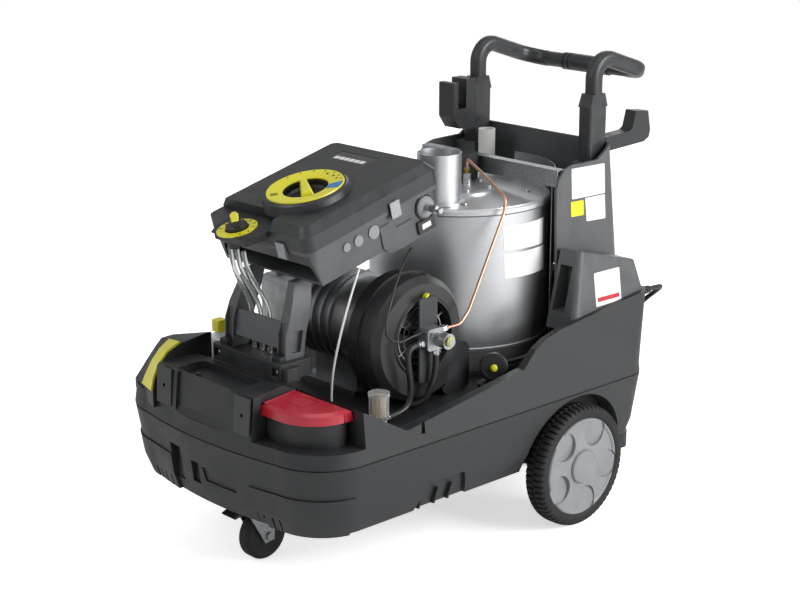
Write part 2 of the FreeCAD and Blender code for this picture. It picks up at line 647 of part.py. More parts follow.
def control_box_base():
    w = BOX_HALF_W - 5.0
    y1 = BOX_LEN - 11.0
    base = rounded_box(-w, w, 6.0, y1, -BASE_DEPTH - 8.0, -COVER_DEPTH - 0.4, 18.0)
    keep = prism_x([(0.0, 0.0), (BOX_LEN, 0.0), (BOX_LEN, -60.0), (BASE_REAR_V, -BASE_DEPTH - 8.0),
                    (200.0, -BASE_DEPTH - 8.0), (170.0, -BASE_DEPTH + 6.0), (22.0, -BASE_DEPTH + 6.0)], -200.0, 200.0)
    base = base.common(keep)
    cavity = rounded_box(-w + 4.0, w - 4.0, 14.0, y1 - 12.0, -BASE_DEPTH + 12.0, -COVER_DEPTH + 1.0, 14.0)
    base = base.cut(cavity)
    rim = rounded_box(-w - 4.0, w + 4.0, 5.0, BOX_LEN - 2.0, -COVER_DEPTH - 8.0, -COVER_DEPTH - 0.4,
                      COVER_CORNER_R - 2.0)
    rim = rim.cut(rounded_box(-w + 3.0, w - 3.0, 13.0, y1 - 8.0, -COVER_DEPTH - 9.0, -COVER_DEPTH + 1.0, 14.0))
    base = base.fuse(rim)
    # stepped skirt panel on the right side
    step = prism_x([(176.0, -62.0), (200.0, -62.0), (216.0, -78.0), (256.0, -78.0), (256.0, -BASE_DEPTH + 2.0),
                    (184.0, -BASE_DEPTH + 2.0), (176.0, -BASE_DEPTH + 12.0)], w - 1.0, w + 3.0)
    base = base.fuse(step)
    for v, r in PLUGS:
        base = base.cut(cyl_x(r - 1.0, w - 6.0, w + 8.0, v, -COVER_DEPTH - 26.0))
    base = base.cut(cyl_x(SPINDLE_R + RUNNING_GAP, w - 8.0, w + 8.0, SPINDLE_V, SPINDLE_W))
    base = base.cut(box(w - 1.2, w + 8.0, HOUR_V0, HOUR_V0 + 46.0, HOUR_W0, HOUR_W0 + 26.0))
    return box_frame(base)


def control_box_cover():
    """Lid of the control box with a bevelled edge and the raised selector cone."""
    w = BOX_HALF_W
    edge = -9.0
    bottom = rounded_box(-w, w, 3.0, BOX_LEN, -COVER_DEPTH, edge, COVER_CORNER_R)
    low = plan_wire(-w, w, 3.0, BOX_LEN, edge, COVER_CORNER_R)
    top = plan_wire(-w + COVER_BEVEL, w - COVER_BEVEL, 3.0 + COVER_BEVEL, BOX_LEN - COVER_BEVEL, COVER_CROWN,
                    COVER_CORNER_R - 6.0)
    cover = bottom.fuse(Part.makeLoft([low, top], True, True))
    cavity = rounded_box(-w + 4.0, w - 4.0, 7.0, BOX_LEN - 4.0, -COVER_DEPTH - 1.0, -16.0, COVER_CORNER_R - 4.0)
    cover = cover.cut(cavity)
    # notch at the left front corner for the dosing plate
    cover = cover.cut(box(-w - 5.0, 44.0, -10.0, 46.0, -12.0, 30.0))
    r = SELECTOR_R
    cone = revolve_z([(r - 28.0, -1.0), (r + 12.0, -1.0), (r + 7.0, SELECTOR_H - 6.0), (r + 3.0, SELECTOR_H - 2.0),
                      (r - 32.0, SELECTOR_H - 6.0)], SELECTOR_U, SELECTOR_V)
    cover = cover.fuse(cone)
    cover = cover.cut(cyl_z(r - 32.0, -6.0, SELECTOR_H + 2.0, SELECTOR_U, SELECTOR_V))
    cover = cover.cut(cyl_z(KNOB_SHAFT_R + RUNNING_GAP, -30.0, 10.0, SELECTOR_U, SELECTOR_V))
    cover = cover.cut(rounded_box(DISPLAY_U0, DISPLAY_U0 + DISPLAY_W, DISPLAY_V0, DISPLAY_V0 + DISPLAY_H,
                                  COVER_CROWN - 2.5, COVER_CROWN + 5.0, 3.0))
    return box_frame(cover)


def plan_wire(x0, x1, y0, y1, z, r):
    """Closed outline of a rectangle with round corners."""
    solid = rounded_box(x0, x1, y0, y1, z, z + 1.0, r)
    return [f for f in solid.Faces if abs(f.normalAt(0, 0).z + 1.0) < 1e-6][0].OuterWire


def dial_scales():
    """Ring scales of the selector and of the dosing valve."""
    r = SELECTOR_R
    slope = 4.0 / 35.0
    big = revolve_z([(r - 31.0, SELECTOR_H - 5.6), (r, SELECTOR_H - 5.6 + 31.0 * slope),
                     (r - 1.0, SELECTOR_H - 3.4 + 31.0 * slope), (r - 31.0, SELECTOR_H - 3.4)], SELECTOR_U, SELECTOR_V)
    small = revolve_z([(DOSING_R - 16.0, -9.4), (DOSING_R, -9.4), (DOSING_R, -7.6), (DOSING_R - 16.0, -7.6)],
                      DOSING_U, DOSING_V)
    return Part.makeCompound([box_frame(big), box_frame(small)])


def selector_knob():
    """Turning dish with a tapered grip bar across it."""
    floor = -6.0 + SEAT
    dish = cyl_z(SELECTOR_R - 33.0, floor, 4.0, SELECTOR_U, SELECTOR_V)
    shaft = cyl_z(KNOB_SHAFT_R, -26.0, floor, SELECTOR_U, SELECTOR_V)
    reach = SELECTOR_R - 36.0
    plan = [(-9.0, -reach), (9.0, -reach), (15.0, reach - 2.0), (-15.0, reach - 2.0)]
    low = Part.makePolygon([V(SELECTOR_U + x, SELECTOR_V + y, 4.0) for x, y in plan + plan[:1]])
    high = Part.makePolygon([V(SELECTOR_U + x * 0.7, SELECTOR_V + y * 0.9, 27.0) for x, y in plan + plan[:1]])
    grip = Part.makeLoft([low, high], True, True)
    tops = [e for e in grip.Edges if e.BoundBox.ZMin > 26.9]
    knob = dish.fuse([shaft, grip.makeFillet(3.0, tops)])
    knob.rotate(V(SELECTOR_U, SELECTOR_V, 0), V(0, 0, 1), -125.0)
    return box_frame(knob)


def dosing_plate():
    plan = [(-84.0, -18.0), (-68.0, -46.0), (24.0, -46.0), (43.0, -8.0), (41.0, 42.0), (-80.0, 42.0),
            (-84.0, 26.0)]
    plate = prism_z(plan, -11.9, -9.4)
    lip = prism_z([(-80.0, -18.0), (-66.0, -42.0), (22.0, -42.0), (40.0, -2.0), (-80.0, -2.0)], -26.0, -11.9)
    lip = lip.cut(prism_z([(-76.0, -17.0), (-64.0, -38.0), (20.0, -38.0), (34.0, -6.0), (-76.0, -6.0)], -27.0, -14.0))
    plate = plate.fuse(lip)
    plate = plate.fuse(cyl_z(14.0, -40.0, -13.0, DOSING_U, DOSING_V - 12.0).common(
        box(-200.0, 200.0, -100.0, -3.0, -60.0, 0.0)))
    plate = plate.cut(cyl_z(5.0 + RUNNING_GAP, -34.0, 0.0, DOSING_U, DOSING_V))
    return box_frame(plate)


def dosing_knob():
    skirt = cyl_z(DOSING_R - 18.0, -9.0, 2.0, DOSING_U, DOSING_V)
    shaft = cyl_z(5.0, -30.0, -9.0, DOSING_U, DOSING_V)
    pointer = prism_z([(DOSING_U - 6.0, DOSING_V - 20.0), (DOSING_U + 6.0, DOSING_V - 20.0),
                       (DOSING_U + 8.0, DOSING_V + 14.0), (DOSING_U, DOSING_V + 30.0),
                       (DOSING_U - 8.0, DOSING_V + 14.0)], 1.9, 16.0)
    knob = skirt.fuse([shaft, pointer])
    knob.rotate(V(DOSING_U, DOSING_V, 0), V(0, 0, 1), 55.0)
    return box_frame(knob)


def clear_windows():
    display = rounded_box(DISPLAY_U0 + SEAT, DISPLAY_U0 + DISPLAY_W - SEAT, DISPLAY_V0 + SEAT,
                          DISPLAY_V0 + DISPLAY_H - SEAT, COVER_CROWN - 2.5, COVER_CROWN - 0.8, 2.8)
    w = BOX_HALF_W - 5.0
    frame = rounded_box(w - 1.2, w + 5.0, HOUR_V0 + 0.2, HOUR_V0 + 45.8, HOUR_W0 + 0.2, HOUR_W0 + 25.8, 4.0, "x")
    frame = frame.cut(rounded_box(w + 3.0, w + 6.0, HOUR_V0 + 9.0, HOUR_V0 + 37.0, HOUR_W0 + 7.0, HOUR_W0 + 19.0,
                                  2.0, "x"))
    return Part.makeCompound([box_frame(display), box_frame(frame)])


def box_side_fittings():
    """Three blanking plugs and the spindle's collar, on the right side of the box."""
    w = BOX_HALF_W - 5.0
    out = []
    for v, r in PLUGS:
        plug = cyl_x(r, w, w + 2.5, v, -COVER_DEPTH - 26.0).fuse(
            cyl_x(r - 1.2, w - 5.0, w, v, -COVER_DEPTH - 26.0))
        out.append(box_frame(plug))
    collar = revolve_x([(w, SPINDLE_R + RUNNING_GAP), (w, 21.0), (w + 5.0, 21.0), (w + 8.0, 17.0),
                        (w + 8.0, SPINDLE_R + RUNNING_GAP)], SPINDLE_V, SPINDLE_W)
    out.append(box_frame(collar))
    return Part.makeCompound(out)


def pressure_spindle():
    """Shank that turns in the collar, a thicker seat for its knob and a tip with a flat."""
    w = BOX_HALF_W - 5.0
    seat = w + 11.0
    tip = seat + SPINDLE_END_L + SPINDLE_TIP_L
    rod = cyl_x(SPINDLE_R, w - 30.0, tip, SPINDLE_V, SPINDLE_W)
    rod = rod.fuse(cyl_x(SPINDLE_END_R, seat, seat + SPINDLE_END_L, SPINDLE_V, SPINDLE_W))
    rod = rod.cut(box(tip - SPINDLE_TIP_L + 2.0, tip + 1.0, SPINDLE_V - 20.0, SPINDLE_V + 20.0, SPINDLE_W + 3.5,
                      SPINDLE_W + 20.0))
    return box_frame(rod)


def cover_clips():
    """Spring clips that hold the cover on its base."""
    w = BOX_HALF_W
    side = prism_z([(w + 0.3, 205.0), (w + 5.0, 205.0), (w + 5.0, 229.0), (w + 0.3, 229.0)], -COVER_DEPTH - 18.0,
                   -COVER_DEPTH + 14.0)
    side = side.cut(box(w, w + 3.0, 200.0, 240.0, -COVER_DEPTH - 9.0, -COVER_DEPTH + 8.0))
    front = box(60.0, 84.0, -2.0, 2.7, -COVER_DEPTH - 20.0, -COVER_DEPTH + 12.0)
    return Part.makeCompound([box_frame(side), box_frame(front)])


def dosing_hoses():
    """Clear suction hoses from the dosing valve down behind the bracket's cross plate."""
    out = []
    for k in range(3):
        top = (-48.0 + 17.0 * k, -417.0 + 2.0 * k, 612.0 - 1.5 * k)
        foot = (-40.0 + 24.0 * k, -372.0, BEAM_TOP - 9.0 + SEAT)
        mid1 = (top[0] + 1.0, -414.0 + 3.0 * k, 572.0)
        mid2 = (foot[0] - 3.0, -375.0 + 3.0 * k, 500.0)
        mid3 = (foot[0], -373.0, 452.0)
        out.append(tube([top, mid1, mid2, mid3, foot], 4.5))
    return Part.makeCompound(out)


# Boiler
def boiler_drum():
    wall = 2.0
    top = BOILER_TOP_Z - LID_T
    drum = revolve_z([(BOILER_R - 2.0, BOILER_FOOT_Z), (BOILER_R - 2.0, top), (BOILER_R - 2.0 - wall, top),
                      (BOILER_R - 2.0 - wall, BOILER_FOOT_Z + wall), (0.0, BOILER_FOOT_Z + wall),
                      (0.0, BOILER_FOOT_Z)], 0.0, BOILER_Y)
    feet = revolve_z([(BOILER_R - 40.0, DECK_FLOOR_Z), (BOILER_R - 14.0, DECK_FLOOR_Z),
                      (BOILER_R - 14.0, BOILER_FOOT_Z + 0.5), (BOILER_R - 40.0, BOILER_FOOT_Z + 0.5)], 0.0, BOILER_Y)
    drum = drum.fuse(feet)
    band = revolve_z([(BOILER_R - 2.5, 356.0), (BOILER_R + 0.5, 358.0), (BOILER_R + 0.5, 364.0),
                      (BOILER_R - 2.5, 366.0)], 0.0, BOILER_Y)
    return drum.fuse(band)


def boiler_lid():
    top = BOILER_TOP_Z
    low = top - LID_T
    lid = revolve_z([(0.0, low), (BOILER_R, low), (BOILER_R + 2.5, low + 3.0), (BOILER_R + 2.5, top - 3.0),
                     (BOILER_R, top), (BOILER_R - 6.0, top), (BOILER_R - 8.0, top - 1.5),
                     (FLANGE_R + 14.0, top + 4.0), (0.0, top + 4.0)], 0.0, BOILER_Y)
    lid = lid.cut(cyl_z(FLANGE_R - 10.0, low - 1.0, top + 10.0, 0.0, BOILER_Y))
    return lid.cut(cyl_z(FLUE_R - 2.0, low - 1.0, top + 10.0, FLUE_X, FLUE_Y))


def burner_flange():
    z0 = BOILER_TOP_Z + 4.0
    disc = revolve_z([(0.0, z0), (FLANGE_R, z0), (FLANGE_R, z0 + 4.0), (FLANGE_R - 8.0, z0 + 6.0),
                      (0.0, z0 + 6.0)], 0.0, BOILER_Y)
    bolts = []
    for k in (0, 1, 3, 4, 5):
        a = math.radians(60.0 * k + 30.0)
        bolts.append(Part.makeCylinder(5.0, 6.0, V((FLANGE_R - 12.0) * math.cos(a),
                                                   BOILER_Y + (FLANGE_R - 12.0) * math.sin(a), z0 + 5.0)))
    return disc.fuse(bolts).cut(cyl_z(FLUE_R + 8.0 + SEAT, z0 - 5.0, z0 + 20.0, FLUE_X, FLUE_Y))


def burner_nozzle():
    z0 = BOILER_TOP_Z + 10.0
    nozzle = cyl_z(9.0, z0, z0 + 10.0, 0.0, NOZZLE_Y)
    hexagon = Part.makePolygon([V(8.0 * math.cos(math.radians(60 * k)), NOZZLE_Y + 8.0 * math.sin(math.radians(60 * k)),
                                  z0 + 9.5) for k in range(7)])
    nut = Part.Face(hexagon).extrude(V(0, 0, 12.0))
    return nozzle.fuse([nut, cyl_z(4.5, z0 + 21.0, z0 + 34.0, 0.0, NOZZLE_Y)])


def ignition_transformer():
    z0 = BOILER_TOP_Z + 10.0
    return rounded_box(-66.0, -14.0, 150.0, 204.0, z0 + 1.0, z0 + 56.0, 4.0).fuse(
        box(-60.0, -20.0, 156.0, 198.0, z0, z0 + 2.0))


def flue_pipe():
    z0 = BOILER_TOP_Z + SEAT
    pipe = revolve_z([(FLUE_R - 2.0, z0 + 3.0), (FLUE_R, z0 + 3.0), (FLUE_R, FLUE_TOP_Z),
                      (FLUE_R - 2.0, FLUE_TOP_Z)], FLUE_X, FLUE_Y)
    seat = revolve_z([(FLUE_R - 2.0, z0 + 0.0), (FLUE_R + 8.0, z0 + 0.0), (FLUE_R + 8.0, z0 + 5.0),
                      (FLUE_R - 2.0, z0 + 8.0)], FLUE_X, FLUE_Y)
    pipe = pipe.fuse(seat)
    cone = revolve_z([(BOILER_R - 8.0, BOILER_TOP_Z - 1.5 + SEAT), (FLANGE_R + 14.0, BOILER_TOP_Z + 4.0 + SEAT),
                      (0.0, BOILER_TOP_Z + 4.0 + SEAT), (0.0, BOILER_TOP_Z - 60.0),
                      (BOILER_R - 8.0, BOILER_TOP_Z - 60.0)], 0.0, BOILER_Y)
    return pipe.cut(cone)


def heating_coil():
    """Water coil inside the drum, one unbroken pipe wound up its inner wall."""
    turns = 5
    pitch = 36.0
    r = BOILER_R - 4.0 - COIL_PIPE_R - SEAT
    z0 = BOILER_FOOT_Z + 30.0
    edges = []
    for k in range(turns * 2):
        a0 = math.pi * k
        pts = []
        for s in (0.0, 0.5, 1.0):
            a = a0 + math.pi * s
            pts.append(V(r * math.cos(a), BOILER_Y + r * math.sin(a), z0 + pitch * (k + s) / 2.0))
        edges.append(Part.Arc(*pts).toShape())
    wire = Part.Wire(edges)
    start = edges[0].valueAt(edges[0].FirstParameter)
    tangent = edges[0].tangentAt(edges[0].FirstParameter)
    ring = Part.Wire(Part.makeCircle(COIL_PIPE_R, start, tangent))
    return wire.makePipeShell([ring], True, False)


# Blower, motor and pumps
def scroll_outline(x, offset):
    """Spiral outline of the blower's housing, opening into its outlet at the lower rear."""
    pts = []
    for k in range(13):
        a = math.radians(-60.0 - 25.0 * k)
        r = SCROLL_R + SCROLL_GROWTH * (12 - k) / 12.0 - offset
        pts.append(V(x, SHAFT_Y + r * math.cos(a), SHAFT_Z + r * math.sin(a)))
    curve = Part.BSplineCurve()
    curve.interpolate(pts)
    closing = Part.LineSegment(pts[-1], pts[0])
    return Part.Wire([curve.toShape(), closing.toShape()])


def blower_scroll():
    """Two moulded half shells round the impeller, with the inlet's rounded lip."""
    xm = SCROLL_X0 + 38.0
    wall = 3.0
    back = Part.makeLoft([scroll_outline(SCROLL_X0, 8.0), scroll_outline(SCROLL_X0 + 8.0, 0.0),
                          scroll_outline(xm - 0.2, 0.0)], True, True)
    back = back.cut(Part.Face(scroll_outline(SCROLL_X0 + wall, 8.0 + wall)).extrude(V(60.0, 0, 0)))
    back = back.cut(cyl_x(SHAFT_R + 4.0, SCROLL_X0 - 2.0, SCROLL_X0 + 10.0, SHAFT_Y, SHAFT_Z))
    front = Part.makeLoft([scroll_outline(xm + 0.2, 0.0), scroll_outline(SCROLL_X1 - 14.0, 0.0),
                           scroll_outline(SCROLL_X1, 12.0)], True, True)
    front = front.cut(Part.Face(scroll_outline(xm - 1.0, wall + 9.0)).extrude(V(SCROLL_X1 - wall - xm, 0, 0)))
    lip = revolve_x([(SCROLL_X1 - 4.0, INLET_R + 14.0), (SCROLL_X1 + 3.0, INLET_R + 6.0), (SCROLL_X1 + 3.0, INLET_R + 3.0),
                     (SCROLL_X1 - 12.0, INLET_R), (SCROLL_X1 - 16.0, INLET_R), (SCROLL_X1 - 16.0, INLET_R + 6.0)],
                    SHAFT_Y, SHAFT_Z)
    front = front.cut(cyl_x(INLET_R + 4.0, SCROLL_X1 - 30.0, SCROLL_X1 + 10.0, SHAFT_Y, SHAFT_Z)).fuse(lip)
    seam = Part.Face(scroll_outline(xm - 2.0, -4.0)).extrude(V(4.0, 0, 0))
    seam = seam.cut(Part.Face(scroll_outline(xm - 3.0, 1.0)).extrude(V(6.0, 0, 0)))
    back = back.fuse(seam.common(box(xm - 9.0, xm - 0.2, -500.0, 200.0, 200.0, 700.0)))
    front = front.fuse(seam.common(box(xm + 0.2, xm + 9.0, -500.0, 200.0, 200.0, 700.0)))
    # outlet throat towards the boiler's foot
    throat = rounded_box(SCROLL_X0 + 4.0, SCROLL_X1 - 10.0, SHAFT_Y + 60.0, SHAFT_Y + 132.0, DECK_FLOOR_Z + SEAT,
                         SHAFT_Z - 36.0, 18.0, "x")
    keep = cyl_z(BOILER_R + 1.0, 200.0, 700.0, 0.0, BOILER_Y)
    throat = throat.cut(keep).cut(Part.Face(scroll_outline(SCROLL_X0 - 5.0, -0.3)).extrude(V(120.0, 0, 0)))
    return Part.makeCompound([back, front, throat])


def blower_grille():
    """Ring-wire guard in the inlet."""
    x = SCROLL_X1 - 13.0
    rings = []
    for r in (16.0, 29.0, 42.0, 55.0):
        rings.append(revolve_x([(x, r - 1.2), (x, r + 1.2), (x + 2.4, r + 1.2), (x + 2.4, r - 1.2)], SHAFT_Y, SHAFT_Z))
    spokes = []
    for k in range(6):
        bar = box(x, x + 2.4, SHAFT_Y - 1.2, SHAFT_Y + 1.2, SHAFT_Z + 14.0, SHAFT_Z + INLET_R - 0.2)
        bar.rotate(V(x, SHAFT_Y, SHAFT_Z), V(1, 0, 0), 60.0 * k)
        spokes.append(bar)
    out = rings[0]
    for piece in rings[1:] + spokes:
        out = out.fuse(piece)
    return out


def blower_impeller():
    """Drum impeller with curved blades, on the shaft that also drives both pumps."""
    x0 = SCROLL_X0 + 12.0
    x1 = SCROLL_X1 - 26.0
    back = cyl_x(IMPELLER_R, x0, x0 + 3.0, SHAFT_Y, SHAFT_Z)
    ring = revolve_x([(x1 - 3.0, IMPELLER_R - 14.0), (x1 - 3.0, IMPELLER_R), (x1, IMPELLER_R),
                      (x1, IMPELLER_R - 14.0)], SHAFT_Y, SHAFT_Z)
    hub = cyl_x(20.0, x0, x0 + 22.0, SHAFT_Y, SHAFT_Z)
    blades = []
    for k in range(18):
        blade = prism_x([(SHAFT_Y - 1.0, SHAFT_Z + IMPELLER_R - 13.0), (SHAFT_Y + 1.0, SHAFT_Z + IMPELLER_R - 13.0),
                         (SHAFT_Y + 5.0, SHAFT_Z + IMPELLER_R - 2.0), (SHAFT_Y + 3.0, SHAFT_Z + IMPELLER_R - 2.0)],
                        x0 + 2.0, x1 - 2.0)
        blade.rotate(V(0, SHAFT_Y, SHAFT_Z), V(1, 0, 0), 20.0 * k)
        blades.append(blade)
    shaft = cyl_x(SHAFT_R, MOTOR_X0 + 20.0, SCROLL_X1 - 18.0, SHAFT_Y, SHAFT_Z)
    return back.fuse([ring, hub, shaft] + blades)


def main_motor():
    """Finned motor body on a foot, with a bored centre for the shaft."""
    x1 = SCROLL_X0 - SEAT
    body = revolve_x([(MOTOR_X0, 0.1), (MOTOR_X0, MOTOR_R - 12.0), (MOTOR_X0 + 10.0, MOTOR_R), (x1 - 24.0, MOTOR_R),
                      (x1 - 12.0, MOTOR_R - 14.0), (x1, MOTOR_R - 14.0), (x1, 0.1)], SHAFT_Y, SHAFT_Z)
    for k in range(5):
        x = MOTOR_X0 + 30.0 + 24.0 * k
        body = body.fuse(revolve_x([(x, MOTOR_R - 2.0), (x, MOTOR_R + 7.0), (x + 5.0, MOTOR_R + 7.0),
                                    (x + 5.0, MOTOR_R - 2.0)], SHAFT_Y, SHAFT_Z))
    foot = box(MOTOR_X0 + 20.0, x1 - 30.0, SHAFT_Y - 70.0, SHAFT_Y + 70.0, DECK_FLOOR_Z + SEAT, DECK_FLOOR_Z + 12.0)
    web = box(MOTOR_X0 + 40.0, x1 - 50.0, SHAFT_Y - 46.0, SHAFT_Y + 46.0, DECK_FLOOR_Z + 10.0, SHAFT_Z - 60.0)
    body = body.fuse([foot, web])
    return body.cut(cyl_x(SHAFT_R + 0.4, MOTOR_X0 + 15.0, x1 + 1.0, SHAFT_Y, SHAFT_Z))


def high_pressure_pump():
    """Axial pump block with its valve head and three valve caps."""
    x1 = MOTOR_X0 - SEAT
    flange = cyl_x(62.0, x1 - 26.0, x1, SHAFT_Y, SHAFT_Z)
    body = rounded_box(x1 - 118.0, x1 - 24.0, SHAFT_Y - 52.0, SHAFT_Y + 52.0, SHAFT_Z - 56.0, SHAFT_Z + 50.0, 14.0, "x")
    out = flange.fuse(body)
    for y in (-30.0, 0.0, 30.0):
        out = out.fuse(cyl_x(13.0, x1 - 130.0, x1 - 116.0, SHAFT_Y + y, SHAFT_Z + 18.0))
        out = out.fuse(cyl_z(12.0, SHAFT_Z + 48.0, SHAFT_Z + 62.0, x1 - 92.0, SHAFT_Y + y))
    return out


def fuel_pump():
    """Gear pump body with its bosses, and the solenoid valve on its face."""
    x0 = SCROLL_X1 + 14.0
    y = SHAFT_Y - 6.0
    z = SHAFT_Z + 4.0
    body = rounded_box(x0, x0 + 26.0, y - 22.0, y + 20.0, z - 20.0, z + 22.0, 7.0, "x")
    boss = cyl_z(7.0, z - 34.0, z - 18.0, x0 + 13.0, y + 12.0)
    inlet = cyl_y(6.5, y - 36.0, y - 20.0, x0 + 13.0, z - 6.0)
    coil = cyl_x(15.0, x0 + 25.0, x0 + 52.0, y + 8.0, z)
    tip = cyl_x(8.0, x0 + 51.0, x0 + 60.0, y + 8.0, z)
    outlet = cyl_y(5.0, y + 18.0, y + 40.0, x0 + 13.0, z + 12.0)
    return body.fuse([boss, inlet, coil, tip, outlet])


def pump_plate():
    """Upright plate across the inlet that carries the fuel pump."""
    x0 = SCROLL_X1 + 8.0
    plate = rounded_box(x0, x0 + 6.0 - SEAT, SHAFT_Y - 24.0, SHAFT_Y + 22.0, SHAFT_Z - 84.0, SHAFT_Z + 79.0, 4.0, "x")
    ends = []
    for z in (SHAFT_Z - INLET_R - 5.0, SHAFT_Z + INLET_R + 5.0):
        ends.append(cyl_x(5.0, SCROLL_X1 + 3.0 + SEAT, x0 + 1.0, SHAFT_Y, z))
    return plate.fuse(ends)


def filter_bowl():
    z0 = FILTER_Z
    head = cyl_z(15.0, z0 - 12.0, z0, FILTER_X, FILTER_Y).fuse(
        cyl_y(5.0, FILTER_Y - 4.0, FILTER_Y + 26.0, FILTER_X, z0 - 6.0))
    stand = cyl_z(6.0, DECK_FLOOR_Z + SEAT, z0 - 11.0, FILTER_X, FILTER_Y)
    bowl = cyl_z(19.0, z0, z0 + 44.0, FILTER_X, FILTER_Y).cut(cyl_z(17.0, z0 + 2.0, z0 + 42.0, FILTER_X, FILTER_Y))
    cap = cyl_z(20.5, z0 + 40.0, z0 + 47.0, FILTER_X, FILTER_Y).cut(
        cyl_z(17.0, z0 + 39.0, z0 + 42.0, FILTER_X, FILTER_Y))
    return head.fuse([stand, bowl, cap])


def filter_element():
    z0 = FILTER_Z + 2.0
    out = cyl_z(13.0, z0, z0 + 38.0, FILTER_X, FILTER_Y)
    for k in range(8):
        a = math.radians(45.0 * k)
        out = out.cut(cyl_z(2.2, z0 - 1.0, z0 + 40.0, FILTER_X + 13.0 * math.cos(a), FILTER_Y + 13.0 * math.sin(a)))
    return out


def fuel_hoses():
    """Supply and return hoses between the filter and the fuel pump."""
    px = SCROLL_X1 + 27.0
    z = SHAFT_Z + 4.0
    y = SHAFT_Y - 6.0
    supply = tube([(px, y - 36.0 - SEAT, z - 6.0), (px, y - 62.0, z - 6.0), (px - 1.0, y - 58.0, z - 46.0),
                   (px - 2.0, y - 50.0, z - 84.0), (px - 1.0, FILTER_Y + 78.0, FILTER_Z + 4.0),
                   (FILTER_X, FILTER_Y + 50.0, FILTER_Z - 6.0), (FILTER_X, FILTER_Y + 26.0 + SEAT, FILTER_Z - 6.0)],
                  6.0)
    back = tube([(px, y + 12.0, z - 34.0 - SEAT), (px, y + 12.0, z - 64.0), (px - 2.0, y + 2.0, z - 98.0),
                 (px - 8.0, y - 14.0, 314.0), (px - 30.0, y - 30.0, 300.0 + DECK_FLOOR_T + 6.4)], 6.0)
    return Part.makeCompound([supply, back])


def copper_fuel_line():
    """Hard fuel line from the pump up the drum's side to the burner's nozzle."""
    px = SCROLL_X1 + 27.0
    z = SHAFT_Z + 16.0
    y = SHAFT_Y + 34.0
    route = [(px, y + SEAT, z), (px, y + 36.0, z), (px - 4.0, y + 62.0, z + 20.0), (190.0, 66.0, 640.0),
             (186.0, 74.0, 668.0), (100.0, 112.0, 688.0), (0.0, NOZZLE_Y, 706.0), (0.0, NOZZLE_Y, BOILER_TOP_Z + 44.0 + SEAT)]
    return tube(route, 3.0, 0.0, 0.3)


def flow_switch():
    """Round flow switch lying on the deck beside the boiler."""
    base = cyl_z(30.0, DECK_FLOOR_Z + SEAT, DECK_FLOOR_Z + 18.0, FLOW_X, -6.0)
    body = Part.makeCylinder(26.0, 34.0, V(FLOW_X - 18.0, 12.0, 350.0), V(0.72, -0.66, 0.15))
    post = cyl_z(12.0, DECK_FLOOR_Z + 16.0, 348.0, FLOW_X - 4.0, -4.0)
    return base.fuse([body, post])


def sensor_cables():
    """Leads from the control box to the fuel pump and from the flow switch to the rear."""
    lead = tube([(126.0, -120.0, 590.0), (178.0, -190.0, 588.0), (220.0, -262.0, 530.0), (228.0, -286.0, 476.0),
                 (228.0, -250.0, 450.0), (227.0, -208.0, 459.0), (227.0, -186.5, 459.0)], 2.5)
    rear = tube([(FLOW_X - 18.5, 12.6, 350.0), (206.0, 26.0, 346.0), (214.0, 54.0, 345.0), (232.0, 92.0, 352.0),
                 (242.0, 134.0, 370.0), (245.0, 163.0, 388.0)], 4.0)
    return Part.makeCompound([lead, rear])


